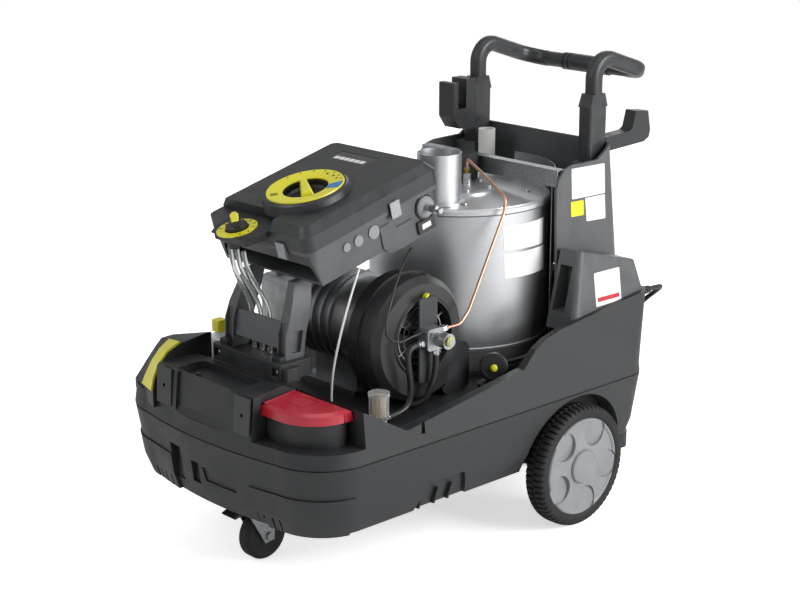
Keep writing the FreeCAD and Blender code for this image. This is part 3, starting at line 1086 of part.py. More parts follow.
# Rear: housing, pods, brace and handle
def rear_housing():
    """Tapered moulded wrap behind the boiler, open at the front and top."""
    def plan(grow, z):
        lean = (z - 520.0) * 0.055
        half = HOUSING_HALF + grow - lean * 0.6
        rear = HOUSING_REAR_Y + 20.0 + grow - lean * 1.6
        r = 32.0 + grow
        k = math.sqrt(0.5)
        y0 = HOUSING_FRONT_Y
        edges = [
            Part.LineSegment(V(-half, y0, z), V(half, y0, z)).toShape(),
            Part.LineSegment(V(half, y0, z), V(half, rear - r, z)).toShape(),
            Part.Arc(V(half, rear - r, z), V(half - r + r * k, rear - r + r * k, z), V(half - r, rear, z)).toShape(),
            Part.LineSegment(V(half - r, rear, z), V(-half + r, rear, z)).toShape(),
            Part.Arc(V(-half + r, rear, z), V(-half + r - r * k, rear - r + r * k, z), V(-half, rear - r, z)).toShape(),
            Part.LineSegment(V(-half, rear - r, z), V(-half, y0, z)).toShape(),
        ]
        return Part.Wire(edges)
    z0 = DECK_FLOOR_Z + SEAT
    top = HOUSING_BACK_Z + 5.0
    foot = HOUSING_FOOT_Z
    outer = Part.makeLoft([plan(0.0, foot), plan(0.0, top)], True, True)
    inner = Part.makeLoft([plan(-HOUSING_WALL, foot - 1.0), plan(-HOUSING_WALL, top + 1.0)], True, True)
    inner = inner.fuse(box(-HOUSING_HALF + HOUSING_WALL + 12.0, HOUSING_HALF - HOUSING_WALL - 12.0,
                           HOUSING_FRONT_Y - 5.0, HOUSING_FRONT_Y + 30.0, foot - 1.0, top + 1.0))
    shell = outer.cut(inner)
    legs = box(-HOUSING_HALF, HOUSING_HALF, 290.0, 352.0, z0, foot + 1.0).cut(
        box(-HOUSING_HALF + 7.0, HOUSING_HALF - 7.0, 280.0, 360.0, z0 - 1.0, foot + 2.0))
    shell = shell.fuse(legs)
    shell = shell.cut(box(UPRIGHT_X - 14.5, UPRIGHT_X + 14.5, 360.0, 430.0, 715.5, 800.0))
    trim = prism_x([(150.0, 760.0), (HOUSING_FRONT_Y - 10.0, 640.0), (HOUSING_FRONT_Y + 0.5, 664.0),
                    (HOUSING_FRONT_Y + 8.0, 686.0), (HOUSING_FRONT_Y + 24.0, 702.0), (HOUSING_FRONT_Y + 48.0, 708.0),
                    (330.0, 710.0), (372.0, 738.0), (500.0, 740.0), (500.0, 800.0), (150.0, 800.0)], -400.0, 400.0)
    shell = shell.cut(trim)
    # sockets for the handle's uprights inside the rear corners
    within = Part.makeLoft([plan(-2.0, foot), plan(-2.0, top)], True, True)
    socket = rounded_box(UPRIGHT_X - 24.0, HOUSING_HALF + 10.0, UPRIGHT_Y - 34.0, UPRIGHT_Y + 8.0, 640.0,
                         HANDLE_FOOT_Z - SEAT, 6.0)
    return shell.fuse(both_sides(socket.common(within)))


def heat_shield():
    """Bent guard sheet behind the drum and the galvanised channel across the housing."""
    y = 214.0
    w = HOUSING_HALF - HOUSING_WALL - 6.3
    web = box(-w, w, y, y + 2.5, 668.0, 702.0)
    flange = box(-w, w, y, y + 22.0, 700.0, 702.5)
    sheet = revolve_z([(SHIELD_R, DECK_FLOOR_Z + SEAT), (SHIELD_R + 1.5, DECK_FLOOR_Z + SEAT), (SHIELD_R + 1.5, 696.0),
                       (SHIELD_R, 696.0)], 0.0, BOILER_Y)
    sector = prism_z([(0.0, BOILER_Y), (190.0, BOILER_Y + 100.0), (190.0, BOILER_Y + 300.0), (-40.0, BOILER_Y + 300.0)],
                     200.0, 800.0)
    room = box(-190.0, 190.0, y + 3.0, 380.0, 200.0, 800.0)
    return Part.makeCompound([web.fuse(flange), sheet.common(sector).common(room)])


def float_tank():
    """Float tank behind the boiler with its vent pipe standing up from the top."""
    tank = rounded_box(-166.0, -84.0, 300.0, 366.0, DECK_FLOOR_Z + SEAT, 600.0, 8.0)
    vent = cyl_z(18.0, 599.0, 733.0, -110.0, 326.0).cut(cyl_z(16.0, 620.0, 740.0, -110.0, 326.0))
    return tank.fuse(vent)


def handle():
    """Push handle: stepped uprights, flat-sided arms bent back, a round cross bar with a grip sleeve."""
    slope = math.radians(HANDLE_SLOPE)
    top = HANDLE_TOP_Z - HANDLE_ARM_H / 2.0
    x = UPRIGHT_X
    y = UPRIGHT_Y + 1.5
    r = HANDLE_BEND_R
    c = V(x, y + r, top - r)
    a = [V(x, y, 806.0), V(x, y, top - r)]
    mid = c + V(0, -r * math.sin(math.radians(45.0) - slope / 2.0), r * math.cos(math.radians(45.0) - slope / 2.0))
    end = c + V(0, r * math.sin(slope), r * math.cos(slope))
    ahead = V(0, math.cos(slope), -math.sin(slope))
    across = V(-1, 0, 0)
    run = (BAR_Y - end.y) / math.cos(slope) - HANDLE_CORNER_R
    corner = end + ahead * run
    centre = corner + across * HANDLE_CORNER_R
    k = math.sqrt(0.5)
    out = centre - across * (HANDLE_CORNER_R * k) + ahead * (HANDLE_CORNER_R * k)
    last = centre + ahead * HANDLE_CORNER_R
    wire = Part.Wire([
        Part.LineSegment(a[0], a[1]).toShape(),
        Part.Arc(a[1], mid, end).toShape(),
        Part.LineSegment(end, corner).toShape(),
        Part.Arc(corner, out, last).toShape(),
    ])
    section = rounded_box(-HANDLE_ARM_W / 2.0, HANDLE_ARM_W / 2.0, -HANDLE_ARM_H / 2.0, HANDLE_ARM_H / 2.0, 0.0, 1.0,
                          HANDLE_ARM_W / 2.0 - 3.0)
    ring = [f for f in section.Faces if abs(f.normalAt(0, 0).z + 1.0) < 1e-6][0].OuterWire
    ring = ring.translated(V(x, y, 806.0))
    arm = wire.makePipeShell([ring], True, False)
    lower = rounded_box(x - 17.0, x + 17.0, UPRIGHT_Y - UPRIGHT_FRONT, UPRIGHT_Y + UPRIGHT_REAR, HANDLE_FOOT_Z,
                        812.0, 7.0)
    taper = Part.makeLoft([
        polygon_ring(x, y - 1.0, 17.0, 26.0, 811.0), polygon_ring(x, y, 15.5, 18.5, 838.0)], True, True)
    side = arm.fuse([lower, taper])
    bar = cyl_x(BAR_R, -last.x - 1.0, last.x + 1.0, last.y, last.z)
    grip = cyl_x(BAR_R + 2.5, -63.0, 63.0, last.y, last.z)
    for k in range(2):
        groove = revolve_x([(40.0 + 14.0 * k, BAR_R + 1.0), (40.0 + 14.0 * k, BAR_R + 4.0), (43.0 + 14.0 * k, BAR_R + 4.0),
                            (43.0 + 14.0 * k, BAR_R + 1.0)], last.y, last.z)
        for ring_cut in both_sides(groove):
            grip = grip.cut(ring_cut)
    return bar.fuse(both_sides(side) + [grip])


def polygon_ring(x, y, half_x, half_y, z):
    return Part.makePolygon([V(x - half_x, y - half_y, z), V(x + half_x, y - half_y, z),
                             V(x + half_x, y + half_y, z), V(x - half_x, y + half_y, z), V(x - half_x, y - half_y, z)])


def handle_hooks():
    """Cable hook behind the right upright and lance holder in front of the left one."""
    x = UPRIGHT_X
    y = UPRIGHT_Y + UPRIGHT_REAR + SEAT
    hook = prism_x([(y, 716.0), (500.0, 722.0), (516.0, 730.0), (520.0, 744.0), (511.0, 786.0), (472.0, 790.0),
                    (462.0, 756.0), (452.0, 750.0), (y, 746.0)], x - 14.0, x + 14.0)
    hx = -UPRIGHT_X
    y1 = UPRIGHT_Y - UPRIGHT_FRONT - SEAT
    holder = prism_x([(y1, 728.0), (y1, 838.0), (296.0, 838.0), (296.0, 776.0), (272.0, 776.0), (272.0, 832.0),
                      (258.0, 832.0), (258.0, 760.0), (276.0, 734.0)], hx - 24.0, hx + 20.0)
    return Part.makeCompound([hook, holder])


def side_pods():
    """Raised housings beside the rear of the boiler, leaning outwards to the deck."""
    def level(x0, x1, y0, y1, z):
        return Part.makePolygon([V(x0, y0, z), V(x1, y0, z), V(x1, y1, z), V(x0, y1, z), V(x0, y0, z)])
    x0 = HOUSING_HALF + 8.0 + SEAT
    pod = Part.makeLoft([level(x0, 287.0, 168.0, 409.0, 396.0), level(x0, 262.0, 208.0, 363.0, 552.0)], True, True)
    edges = [e for e in pod.Edges if abs(e.tangentAt(e.FirstParameter).z) > 0.7 and e.BoundBox.XMin > x0 + 10.0]
    pod = pod.makeFillet(14.0, edges)
    pod = pod.cut(prism_x([(150.0, 553.0), (212.0, 550.0), (363.0, 511.0), (392.0, 497.0), (420.0, 480.0), (420.0, 600.0),
                           (150.0, 600.0)], 150.0, 330.0))
    pocket = rounded_box(x0 + 8.0, 252.0, 150.0, 222.0, 430.0, 520.0, 6.0, "x")
    pod = pod.cut(pocket)
    # the pod's outer skin stands on the deck's raised rim, its inner part hangs in the well
    seat = [(100.0, 300.0), (100.0, 414.0)] + [(y, z + SEAT) for y, z in RIM_PROFILE[8:]]
    seat += [(450.0, RIM_PROFILE[-1][1] + SEAT), (450.0, 300.0)]
    well = rounded_box(-BODY_HALF + RIM_WIDTH + SEAT, BODY_HALF - RIM_WIDTH - SEAT, 50.0, WELL_REAR_Y - SEAT, 200.0,
                       500.0, 30.0)
    pod = pod.cut(prism_x(seat, 150.0, 400.0).cut(well))
    return mirrored_pair(pod)


def strain_relief():
    y = STRAIN_Y
    out = Part.makeCone(11.0, 7.5, 36.0, V(STRAIN_X, y + 4.0, STRAIN_Z), V(0, 1, 0))
    nut = Part.makeCylinder(14.0, 6.0, V(STRAIN_X, y, STRAIN_Z), V(0, 1, 0))
    out = out.fuse(nut)
    for k in range(4):
        ring = Part.makeCylinder(20.0, 2.0, V(STRAIN_X, y + 11.0 + 7.0 * k, STRAIN_Z), V(0, 1, 0))
        ring = ring.cut(Part.makeCylinder(7.6 - 0.5 * k, 2.0, V(STRAIN_X, y + 11.0 + 7.0 * k, STRAIN_Z), V(0, 1, 0)))
        out = out.cut(ring)
    return out.cut(Part.makeCylinder(CABLE_R + 0.3, 60.0, V(STRAIN_X, y + 30.0, STRAIN_Z), V(0, 1, 0)))


# Wheels
def tyre(side):
    """Rubber tyre with cleats across its tread."""
    x1 = WHEEL_FACE_X
    x0 = x1 - TYRE_W
    body = revolve_x([(x0 + 3.0, RIM_R + 0.0), (x0, RIM_R + 8.0), (x0, WHEEL_R - 9.0), (x0 + 7.0, WHEEL_R),
                      (x1 - 7.0, WHEEL_R), (x1, WHEEL_R - 9.0), (x1, RIM_R + 8.0), (x1 - 3.0, RIM_R)],
                     AXLE_Y, WHEEL_R)
    for k in range(TREAD_LUGS):
        groove = box(x0 - 1.0, x1 + 1.0, AXLE_Y - 4.0, AXLE_Y + 4.0, 2.0 * WHEEL_R - 4.0, 2.0 * WHEEL_R + 4.0)
        groove.rotate(V(0, AXLE_Y, WHEEL_R), V(1, 0, 0), 360.0 * (k + 0.5) / TREAD_LUGS)
        body = body.cut(groove)
    return body if side > 0 else body.mirror(V(0, 0, 0), V(1, 0, 0))


def rim(side):
    """Moulded disc wheel with five pressed scoops and a domed hub cap."""
    x1 = WHEEL_FACE_X
    x0 = x1 - TYRE_W
    body = revolve_x([(x0 + 3.0, RIM_R - 6.0), (x0 + 3.0, RIM_R - SEAT), (x1 - 3.0, RIM_R - SEAT), (x1 + 1.0, RIM_R - 6.0),
                      (x1 - 3.0, RIM_R - 16.0), (x1 - 1.0, 44.0), (x1 + 1.0, 34.0), (x1 + HUB_CAP_PROUD - 1.5, 30.0),
                      (x1 + HUB_CAP_PROUD, 20.0), (x1 + HUB_CAP_PROUD, 0.1), (x1 - 4.0, 0.1),
                      (x1 - 4.0, AXLE_R + RUNNING_GAP), (x0 - 6.0, AXLE_R + RUNNING_GAP), (x0 - 6.0, 22.0),
                      (x1 - 14.0, 26.0), (x1 - 12.0, RIM_R - 12.0)], AXLE_Y, WHEEL_R)
    for k in range(5):
        scoop = Part.makeSphere(60.0, V(x1 + 50.0, AXLE_Y, WHEEL_R + 66.0))
        scoop = scoop.common(box(x1 - 8.0, x1 + 60.0, AXLE_Y - 24.0, AXLE_Y + 4.0, WHEEL_R + 44.0, WHEEL_R + 84.0))
        scoop.rotate(V(0, AXLE_Y, WHEEL_R), V(1, 0, 0), 72.0 * k + 10.0)
        body = body.cut(scoop)
    return body if side > 0 else body.mirror(V(0, 0, 0), V(1, 0, 0))


def rear_axle():
    end = WHEEL_FACE_X - 4.0 - 1.0
    rod = cyl_x(AXLE_R, -end, end, AXLE_Y, WHEEL_R)
    collar_x = WHEEL_FACE_X - TYRE_W - 6.0 - 1.0
    for side in both_sides(cyl_x(AXLE_R + 4.0, collar_x - 4.0, collar_x, AXLE_Y, WHEEL_R)):
        rod = rod.fuse(side)
    return rod


# Caster
def caster_plate():
    z1 = CHASSIS_BOTTOM_Z + 6.0
    plate = rounded_box(-52.0, 52.0, CASTER_PIVOT_Y - 40.0, CASTER_PIVOT_Y + 40.0, z1 - CASTER_PLATE_T, z1, 10.0)
    for x in (-40.0, 40.0):
        for y in (-29.0, 29.0):
            plate = plate.cut(cyl_z(4.25, z1 - 10.0, z1 + 10.0, x, CASTER_PIVOT_Y + y))
    race = cyl_z(27.0, z1 - CASTER_PLATE_T - 7.0, z1 - CASTER_PLATE_T, 0.0, CASTER_PIVOT_Y)
    pin = cyl_z(6.0, z1 - CASTER_PLATE_T - 24.0, z1 - CASTER_PLATE_T - 6.0, 0.0, CASTER_PIVOT_Y)
    return plate.fuse([race, pin])


def caster_fork():
    """Swivel fork: crown on the pivot pin, two cheeks and the wheel's axle."""
    axle_y = CASTER_PIVOT_Y + CASTER_TRAIL
    half = CASTER_W / 2.0 + 3.0
    crown = cyl_z(27.0, FORK_TOP_Z - 8.0, FORK_TOP_Z, 0.0, CASTER_PIVOT_Y)
    roof = box(-half - FORK_T, half + FORK_T, CASTER_PIVOT_Y - 24.0, CASTER_PIVOT_Y + 30.0, FORK_TOP_Z - 11.0,
               FORK_TOP_Z - 7.0)
    cheek = prism_x([(CASTER_PIVOT_Y - 24.0, FORK_TOP_Z - 7.0), (CASTER_PIVOT_Y + 30.0, FORK_TOP_Z - 7.0),
                     (axle_y + 13.0, CASTER_R + 10.0), (axle_y + 12.0, CASTER_R - 10.0), (axle_y - 10.0, CASTER_R - 13.0)],
                    half, half + FORK_T)
    pieces = both_sides(cheek)
    axle = cyl_x(5.0, -half - FORK_T - 5.0, half + FORK_T + 5.0, axle_y, CASTER_R)
    nuts = both_sides(cyl_x(8.0, half + FORK_T, half + FORK_T + 5.0, axle_y, CASTER_R))
    out = crown.fuse([roof] + pieces + [axle] + nuts)
    return out.cut(cyl_z(6.0 + RUNNING_GAP, FORK_TOP_Z - 14.0, FORK_TOP_Z + 1.0, 0.0, CASTER_PIVOT_Y))


def caster_wheel():
    axle_y = CASTER_PIVOT_Y + CASTER_TRAIL
    w = CASTER_W / 2.0
    bore = 5.0 + RUNNING_GAP
    return revolve_x([(-w - 1.5, bore), (-w - 1.5, 11.0), (-w + 2.0, 12.0), (-w + 2.0, 30.0), (-w, 33.0), (-w, CASTER_R - 8.0),
                      (-w + 7.0, CASTER_R), (w - 7.0, CASTER_R), (w, CASTER_R - 8.0), (w, 33.0), (w - 2.0, 30.0),
                      (w - 2.0, 12.0), (w + 1.5, 11.0), (w + 1.5, bore)], axle_y, CASTER_R)


def brake_lever():
    """Foot lever hinged across the front of the fork, above the tyre."""
    half = CASTER_W / 2.0 + 3.0 - 0.4
    pad = prism_x([(BRAKE_PIN_Y - 30.0, BRAKE_PIN_Z - 6.0), (BRAKE_PIN_Y - 26.0, BRAKE_PIN_Z - 10.0),
                   (BRAKE_PIN_Y + 6.0, BRAKE_PIN_Z - 5.0), (BRAKE_PIN_Y + 6.0, BRAKE_PIN_Z + 4.0),
                   (BRAKE_PIN_Y - 4.0, BRAKE_PIN_Z + 5.0)], -half, half)
    return pad.fuse(cyl_x(5.0, -half, half, BRAKE_PIN_Y, BRAKE_PIN_Z))


def water_fittings():
    """Water inlet and high-pressure outlet at the rear left."""
    lean = CHASSIS_TAPER * 0.55 / (PARTING_Z - CHASSIS_BOTTOM_Z - 34.0)
    y = BODY_REAR - lean * (PARTING_Z - 236.0 - 13.0) + SEAT
    inlet = cyl_y(13.0, y, y + 26.0, -120.0, 236.0).cut(cyl_y(9.0, y + 4.0, y + 30.0, -120.0, 236.0))
    outlet = cyl_y(11.0, y, y + 30.0, -60.0, 236.0).cut(cyl_y(6.0, y + 4.0, y + 34.0, -60.0, 236.0))
    return Part.makeCompound([inlet, outlet])


# Mains cable
def mains_cable():
    solid = tube(CABLE_ROUTE, CABLE_R)
    wire, radii = rounded_path(CABLE_ROUTE)
    print("mains_cable radii", [round(r) for r in radii], "length", round(wire.Length),
          "volume share", round(solid.Volume / (math.pi * CABLE_R ** 2 * wire.Length), 4))
    return solid


def coil_point(turn):
    """Place on the coil after a number of turns: in and out again at a steady rate, a layer up at each reversal."""
    block = COIL_TURNS + 0.5
    layer = min(max(int((turn + 0.25) // block), 0), COIL_LAYERS - 1)
    inward = layer % 2 == 0
    local = turn - layer * block
    travel = min(max(local, -0.25), COIL_TURNS + 0.25)
    span = COIL_TURNS
    r = COIL_OUTER_R - COIL_PITCH * (travel if inward else span - travel)
    climb = 0.0
    if local > span and layer < COIL_LAYERS - 1:
        climb = (local - span) / 0.5
    if local < 0.0 and layer > 0:
        climb = local / 0.5
    a = math.pi / 2.0 + 2.0 * math.pi * turn
    z = CABLE_R + FLOOR_LIFT + COIL_LAYER * (layer + climb)
    return V(COIL_X + r * math.cos(a), COIL_Y + r * math.sin(a), z)


def coil_tangent(turn, end):
    if turn <= 0.0:
        return V(-1, 0, 0)
    if turn >= end:
        a = math.pi / 2.0 + 2.0 * math.pi * turn
        return V(-math.sin(a), math.cos(a), 0)
    return (coil_point(turn + 0.02) - coil_point(turn - 0.02)).normalize()


def corner_arc(p, b, q):
    """Arc that leaves p towards the corner b and arrives at q, both the same way off the corner."""
    u = (p - b).normalize()
    w = (q - b).normalize()
    half = u.getAngle(w) / 2.0
    cut = p.distanceToPoint(b)
    r = cut * math.tan(half)
    out = (u + w).normalize()
    mid = b + out * (r / math.sin(half) - r)
    return Part.Arc(p, mid, q).toShape()


def biarc(p0, t0, p1, t1):
    """Two arcs that join two points and keep both given directions."""
    v = p1 - p0
    a = 2.0 * t0.dot(t1) - 2.0
    b = -2.0 * v.dot(t0 + t1)
    c = v.dot(v)
    if abs(a) < 1e-9:
        d = -c / b
    else:
        root = math.sqrt(b * b - 4.0 * a * c)
        d = max(x for x in ((-b + root) / (2.0 * a), (-b - root) / (2.0 * a)) if x > 0.0)
    q0 = p0 + t0 * d
    q1 = p1 - t1 * d
    joint = (q0 + q1) * 0.5
    return [corner_arc(p0, q0, joint), corner_arc(joint, q1, p1)]


def mains_cable_coil():
    """The rest of the cable, coiled on the floor in piled loops, with a short tail to the plug."""
    end = COIL_LAYERS * COIL_TURNS + (COIL_LAYERS - 1) * 0.5
    steps = int(end * 4 + 0.5)
    turns = [end * k / steps for k in range(steps + 1)]
    edges = []
    for t0, t1 in zip(turns, turns[1:]):
        edges += biarc(coil_point(t0), coil_tangent(t0, end), coil_point(t1), coil_tangent(t1, end))
    last = coil_point(end)
    way = coil_tangent(end, end)
    tail_end = last + way * TAIL + V(0, 0, PLUG_R + FLOOR_LIFT - last.z)
    edges += biarc(last, way, tail_end, way)
    wire = Part.Wire(edges)
    ring = Part.Wire(Part.makeCircle(CABLE_R, edges[0].valueAt(edges[0].FirstParameter), V(-1, 0, 0)))
    print("mains_cable_coil length", round(wire.Length), "least gap to itself", round(coil_gap(turns), 2))
    return wire.makePipeShell([ring], True, False)


def coil_gap(turns):
    """Least space between two stretches of the coil, on points a few degrees apart."""
    count = 60
    pts = [coil_point(turns[-1] * k / (count * turns[-1])) for k in range(int(count * turns[-1]) + 1)]
    least = 1e9
    for i, p in enumerate(pts):
        for q in pts[i + count // 2:]:
            least = min(least, p.distanceToPoint(q))
    return least - 2.0 * CABLE_R


def mains_plug():
    """Two-pin plug with a tapered sleeve, lying on the floor at the end of the coil."""
    end = COIL_LAYERS * COIL_TURNS + (COIL_LAYERS - 1) * 0.5
    way = coil_tangent(end, end)
    start = coil_point(end) + way * TAIL
    z = PLUG_R + FLOOR_LIFT
    profile = [(0.1, 0.0), (8.0, 0.0), (10.0, 34.0), (PLUG_R - 1.0, 44.0), (PLUG_R - 1.0, 62.0), (PLUG_R, 66.0),
               (PLUG_R, 72.0), (0.1, 72.0)]
    body = polygon([V(u, 0, r) for r, u in profile]).revolve(V(0, 0, 0), V(1, 0, 0), 360.0)
    for y in (-9.5, 9.5):
        body = body.fuse(cyl_x(2.4, 71.0, 91.0, y, 0.0))
    body.rotate(V(0, 0, 0), V(0, 0, 1), math.degrees(math.atan2(way.y, way.x)))
    body.translate(V(start.x, start.y, z))
    return body


NODES = {
    "lower_chassis": lower_chassis, "upper_deck": upper_deck, "hinge_plates": hinge_plates,
    "fuel_tank": fuel_tank, "detergent_tank": detergent_tank, "fuel_cap": fuel_cap,
    "detergent_flap": detergent_flap, "softener_bottle": softener_bottle, "control_bracket": control_bracket,
    "control_box_base": control_box_base, "control_box_cover": control_box_cover, "dial_scales": dial_scales,
    "selector_knob": selector_knob, "dosing_plate": dosing_plate, "dosing_knob": dosing_knob,
    "clear_windows": clear_windows, "box_side_fittings": box_side_fittings, "pressure_spindle": pressure_spindle,
    "cover_clips": cover_clips, "dosing_hoses": dosing_hoses, "boiler_drum": boiler_drum,
    "boiler_lid": boiler_lid, "burner_flange": burner_flange, "burner_nozzle": burner_nozzle,
    "ignition_transformer": ignition_transformer, "flue_pipe": flue_pipe, "heating_coil": heating_coil,
    "blower_scroll": blower_scroll, "blower_grille": blower_grille, "blower_impeller": blower_impeller,
    "main_motor": main_motor, "high_pressure_pump": high_pressure_pump, "float_tank": float_tank,
    "fuel_pump": fuel_pump, "pump_plate": pump_plate, "filter_bowl": filter_bowl,
    "filter_element": filter_element, "fuel_hoses": fuel_hoses, "copper_fuel_line": copper_fuel_line,
    "flow_switch": flow_switch, "sensor_cables": sensor_cables, "rear_housing": rear_housing,
    "heat_shield": heat_shield, "handle": handle, "handle_hooks": handle_hooks, "side_pods": side_pods,
    "strain_relief": strain_relief, "mains_cable": mains_cable, "mains_cable_coil": mains_cable_coil,
    "mains_plug": mains_plug, "rear_axle": rear_axle,
    "caster_plate": caster_plate, "caster_fork": caster_fork, "caster_wheel": caster_wheel,
    "brake_lever": brake_lever, "water_fittings": water_fittings,
}


def main():
    for name, make in NODES.items():
        save(make(), name)
    for side, word in ((1.0, "right"), (-1.0, "left")):
        save(tyre(side), "tyre_" + word)
        save(rim(side), "rim_" + word)


main()
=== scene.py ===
"""Dressed model of a hot-water pressure washer with its hood off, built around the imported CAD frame."""
import logging
import math
from dataclasses import dataclass
from enum import Enum
from typing import Iterable, Optional, Sequence

import bmesh
import bpy
from mathutils import Matrix, Vector


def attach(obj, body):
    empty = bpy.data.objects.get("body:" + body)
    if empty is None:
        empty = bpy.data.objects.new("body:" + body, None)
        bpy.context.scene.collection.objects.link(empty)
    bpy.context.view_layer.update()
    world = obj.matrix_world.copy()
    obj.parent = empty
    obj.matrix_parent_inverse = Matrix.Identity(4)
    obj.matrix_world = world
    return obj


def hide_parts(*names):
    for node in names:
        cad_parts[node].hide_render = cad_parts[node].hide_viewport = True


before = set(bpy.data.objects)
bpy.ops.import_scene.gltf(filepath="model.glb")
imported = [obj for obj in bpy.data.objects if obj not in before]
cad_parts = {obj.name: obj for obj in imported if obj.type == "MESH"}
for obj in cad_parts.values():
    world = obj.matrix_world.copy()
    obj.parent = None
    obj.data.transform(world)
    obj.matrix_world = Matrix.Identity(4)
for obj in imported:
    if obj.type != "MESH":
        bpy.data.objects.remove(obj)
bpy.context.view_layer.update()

log = logging.getLogger("washer")

MM = 0.001
MM_PER_METRE = 1000.0
Point = tuple[float, float, float]
Flat = tuple[float, float]
X_AXIS: Point = (1.0, 0.0, 0.0)
Z_AXIS: Point = (0.0, 0.0, 1.0)
SIDES = (1.0, -1.0)
WHITE = (1.0, 1.0, 1.0, 1.0)


# Finishes
def linear(colour: str) -> tuple[float, float, float, float]:
    """Turn an sRGB hex colour into linear light.

    Args:
        colour: Six hex digits with a leading hash.

    Returns:
        Linear red, green and blue, and an alpha of one.
    """
    parts = [int(colour[k:k + 2], 16) / 255 for k in (1, 3, 5)]
    light = [c / 12.92 if c <= 0.04045 else ((c + 0.055) / 1.055) ** 2.4 for c in parts]
    return (light[0], light[1], light[2], 1.0)


def blank_tree(owner: bpy.types.ID) -> bpy.types.NodeTree:
    """Give a material or world an empty node tree.

    Args:
        owner: The material or world.

    Returns:
        Its tree.
    """
    owner.use_nodes = True
    owner.node_tree.nodes.clear()
    return owner.node_tree


def add_node(tree: bpy.types.NodeTree, kind: str, settings: Optional[dict] = None,
             **links: object) -> bpy.types.Node:
    """Add one node with its settings, socket values and links.

    Args:
        tree: Node tree of the material or world.
        kind: Type name of the node, such as ShaderNodeTexNoise.
        settings: Attributes of the node, and socket values under the socket's name or number.
        links: Output sockets, each under the input's name with underscores for spaces.

    Returns:
        The new node.
    """
    node = tree.nodes.new(kind)
    for key, value in (settings or {}).items():
        if isinstance(key, str) and hasattr(node, key):
            setattr(node, key, value)
        else:
            node.inputs[key].default_value = value
    for key, output in links.items():
        target = node.inputs[int(key[1:])] if key[1:].isdigit() else node.inputs[key.replace("_", " ")]
        tree.links.new(output, target)
    return node


class Making(Enum):
    """How a surface was made, which sets its pattern and relief."""

    MOULDED = "moulded against a finely spark-eroded tool"
    POLISHED = "moulded against a polished tool"
    CLEAR = "clear moulding or clear extrusion"
    ROLLED = "rolled and brushed sheet"
    GALVANISED = "hot-dip galvanised sheet with spangles"
    CAST = "cast and shot-blasted, or powder coated"
    DRAWN = "drawn tube or turned bar"
    RUBBER = "vulcanised rubber"
    PAPER = "pleated filter paper"
    PRINTED = "coated film for stickers"


# Share of a pattern's fineness that is left along x, y and z where the making draws it out
DRAWN_OUT = {Making.ROLLED: (0.03, 0.03, 1.0), Making.DRAWN: (0.2, 0.2, 0.05)}
# How far the roughness wanders below and above its mean
GLOSSIER = 0.07
DULLER = 0.09


@dataclass(frozen=True)
class Finish:
    """One real material with the way its surface was made."""

    name: str
    making: Making
    colour: str
    shade: str
    roughness: float
    pattern_mm: float
    relief_mm: float = 0.02
    metallic: float = 0.0
    ior: float = 1.5
    coat: float = 0.0
    clear: float = 0.0

    def material(self) -> bpy.types.Material:
        """Build the material, or return it where it was built before.

        Returns:
            The node material of this finish.
        """
        known = bpy.data.materials.get(self.name)
        if known:
            return known
        made = bpy.data.materials.new(self.name)
        tree = blank_tree(made)
        place = add_node(tree, "ShaderNodeTexCoord").outputs["Object"]
        fine, wide = self._patterns(tree, place)
        colours = {"data_type": "RGBA", 6: linear(self.colour), 7: linear(self.shade)}
        tint = add_node(tree, "ShaderNodeMix", colours, _0=wide)
        limits = {"To Min": max(self.roughness - GLOSSIER, 0.02), "To Max": min(self.roughness + DULLER, 1.0)}
        spread = add_node(tree, "ShaderNodeMapRange", limits, Value=wide)
        relief = {"Strength": 0.6, "Distance": self.relief_mm * MM}
        bump = add_node(tree, "ShaderNodeBump", relief, Height=fine)
        body = {"Metallic": self.metallic, "IOR": self.ior, "Coat Weight": self.coat, "Coat Roughness": 0.12,
                "Transmission Weight": self.clear}
        shader = add_node(tree, "ShaderNodeBsdfPrincipled", body, Base_Color=tint.outputs[2],
                          Roughness=spread.outputs[0], Normal=bump.outputs[0])
        add_node(tree, "ShaderNodeOutputMaterial", Surface=shader.outputs[0])
        made.diffuse_color = linear(self.colour)
        return made

    def _patterns(self, tree: bpy.types.NodeTree, place: bpy.types.NodeSocket) -> tuple:
        """Make the fine relief and the wide variation of the surface.

        Args:
            tree: Node tree of the material.
            place: Position on the object in metres.

        Returns:
            The fine height and the wide variation, both from 0 to 1.
        """
        per_metre = MM_PER_METRE / self.pattern_mm
        stretch = {"operation": "MULTIPLY", 1: DRAWN_OUT.get(self.making, (1.0, 1.0, 1.0))}
        scaled = add_node(tree, "ShaderNodeVectorMath", stretch, _0=place)
        if self.making in (Making.GALVANISED, Making.MOULDED, Making.CAST):
            cells = add_node(tree, "ShaderNodeTexVoronoi", {"Scale": per_metre}, Vector=scaled.outputs[0])
        elif self.making == Making.PAPER:
            cells = add_node(tree, "ShaderNodeTexWave", {"Scale": per_metre, "Distortion": 0.4}, Vector=place)
        else:
            cells = add_node(tree, "ShaderNodeTexNoise", {"Scale": per_metre, "Detail": 4},
                             Vector=scaled.outputs[0])
        fine = cells.outputs[0]
        if self.making == Making.GALVANISED:
            grey = add_node(tree, "ShaderNodeSeparateColor", None, Color=cells.outputs["Color"])
            return fine, grey.outputs[0]
        clouds = {"Scale": MM_PER_METRE / max(self.pattern_mm * 40, 30), "Detail": 3, "Roughness": 0.6}
        drift = add_node(tree, "ShaderNodeTexNoise", clouds, Vector=place)
        if self.making == Making.ROLLED:
            blend = add_node(tree, "ShaderNodeMix", {"Factor": 0.5}, _2=fine, _3=drift.outputs[0])
            return fine, blend.outputs[0]
        sharper = add_node(tree, "ShaderNodeMapRange", {"From Min": 0.35, "From Max": 0.65},
                           Value=drift.outputs[0])
        return fine, sharper.outputs[0]


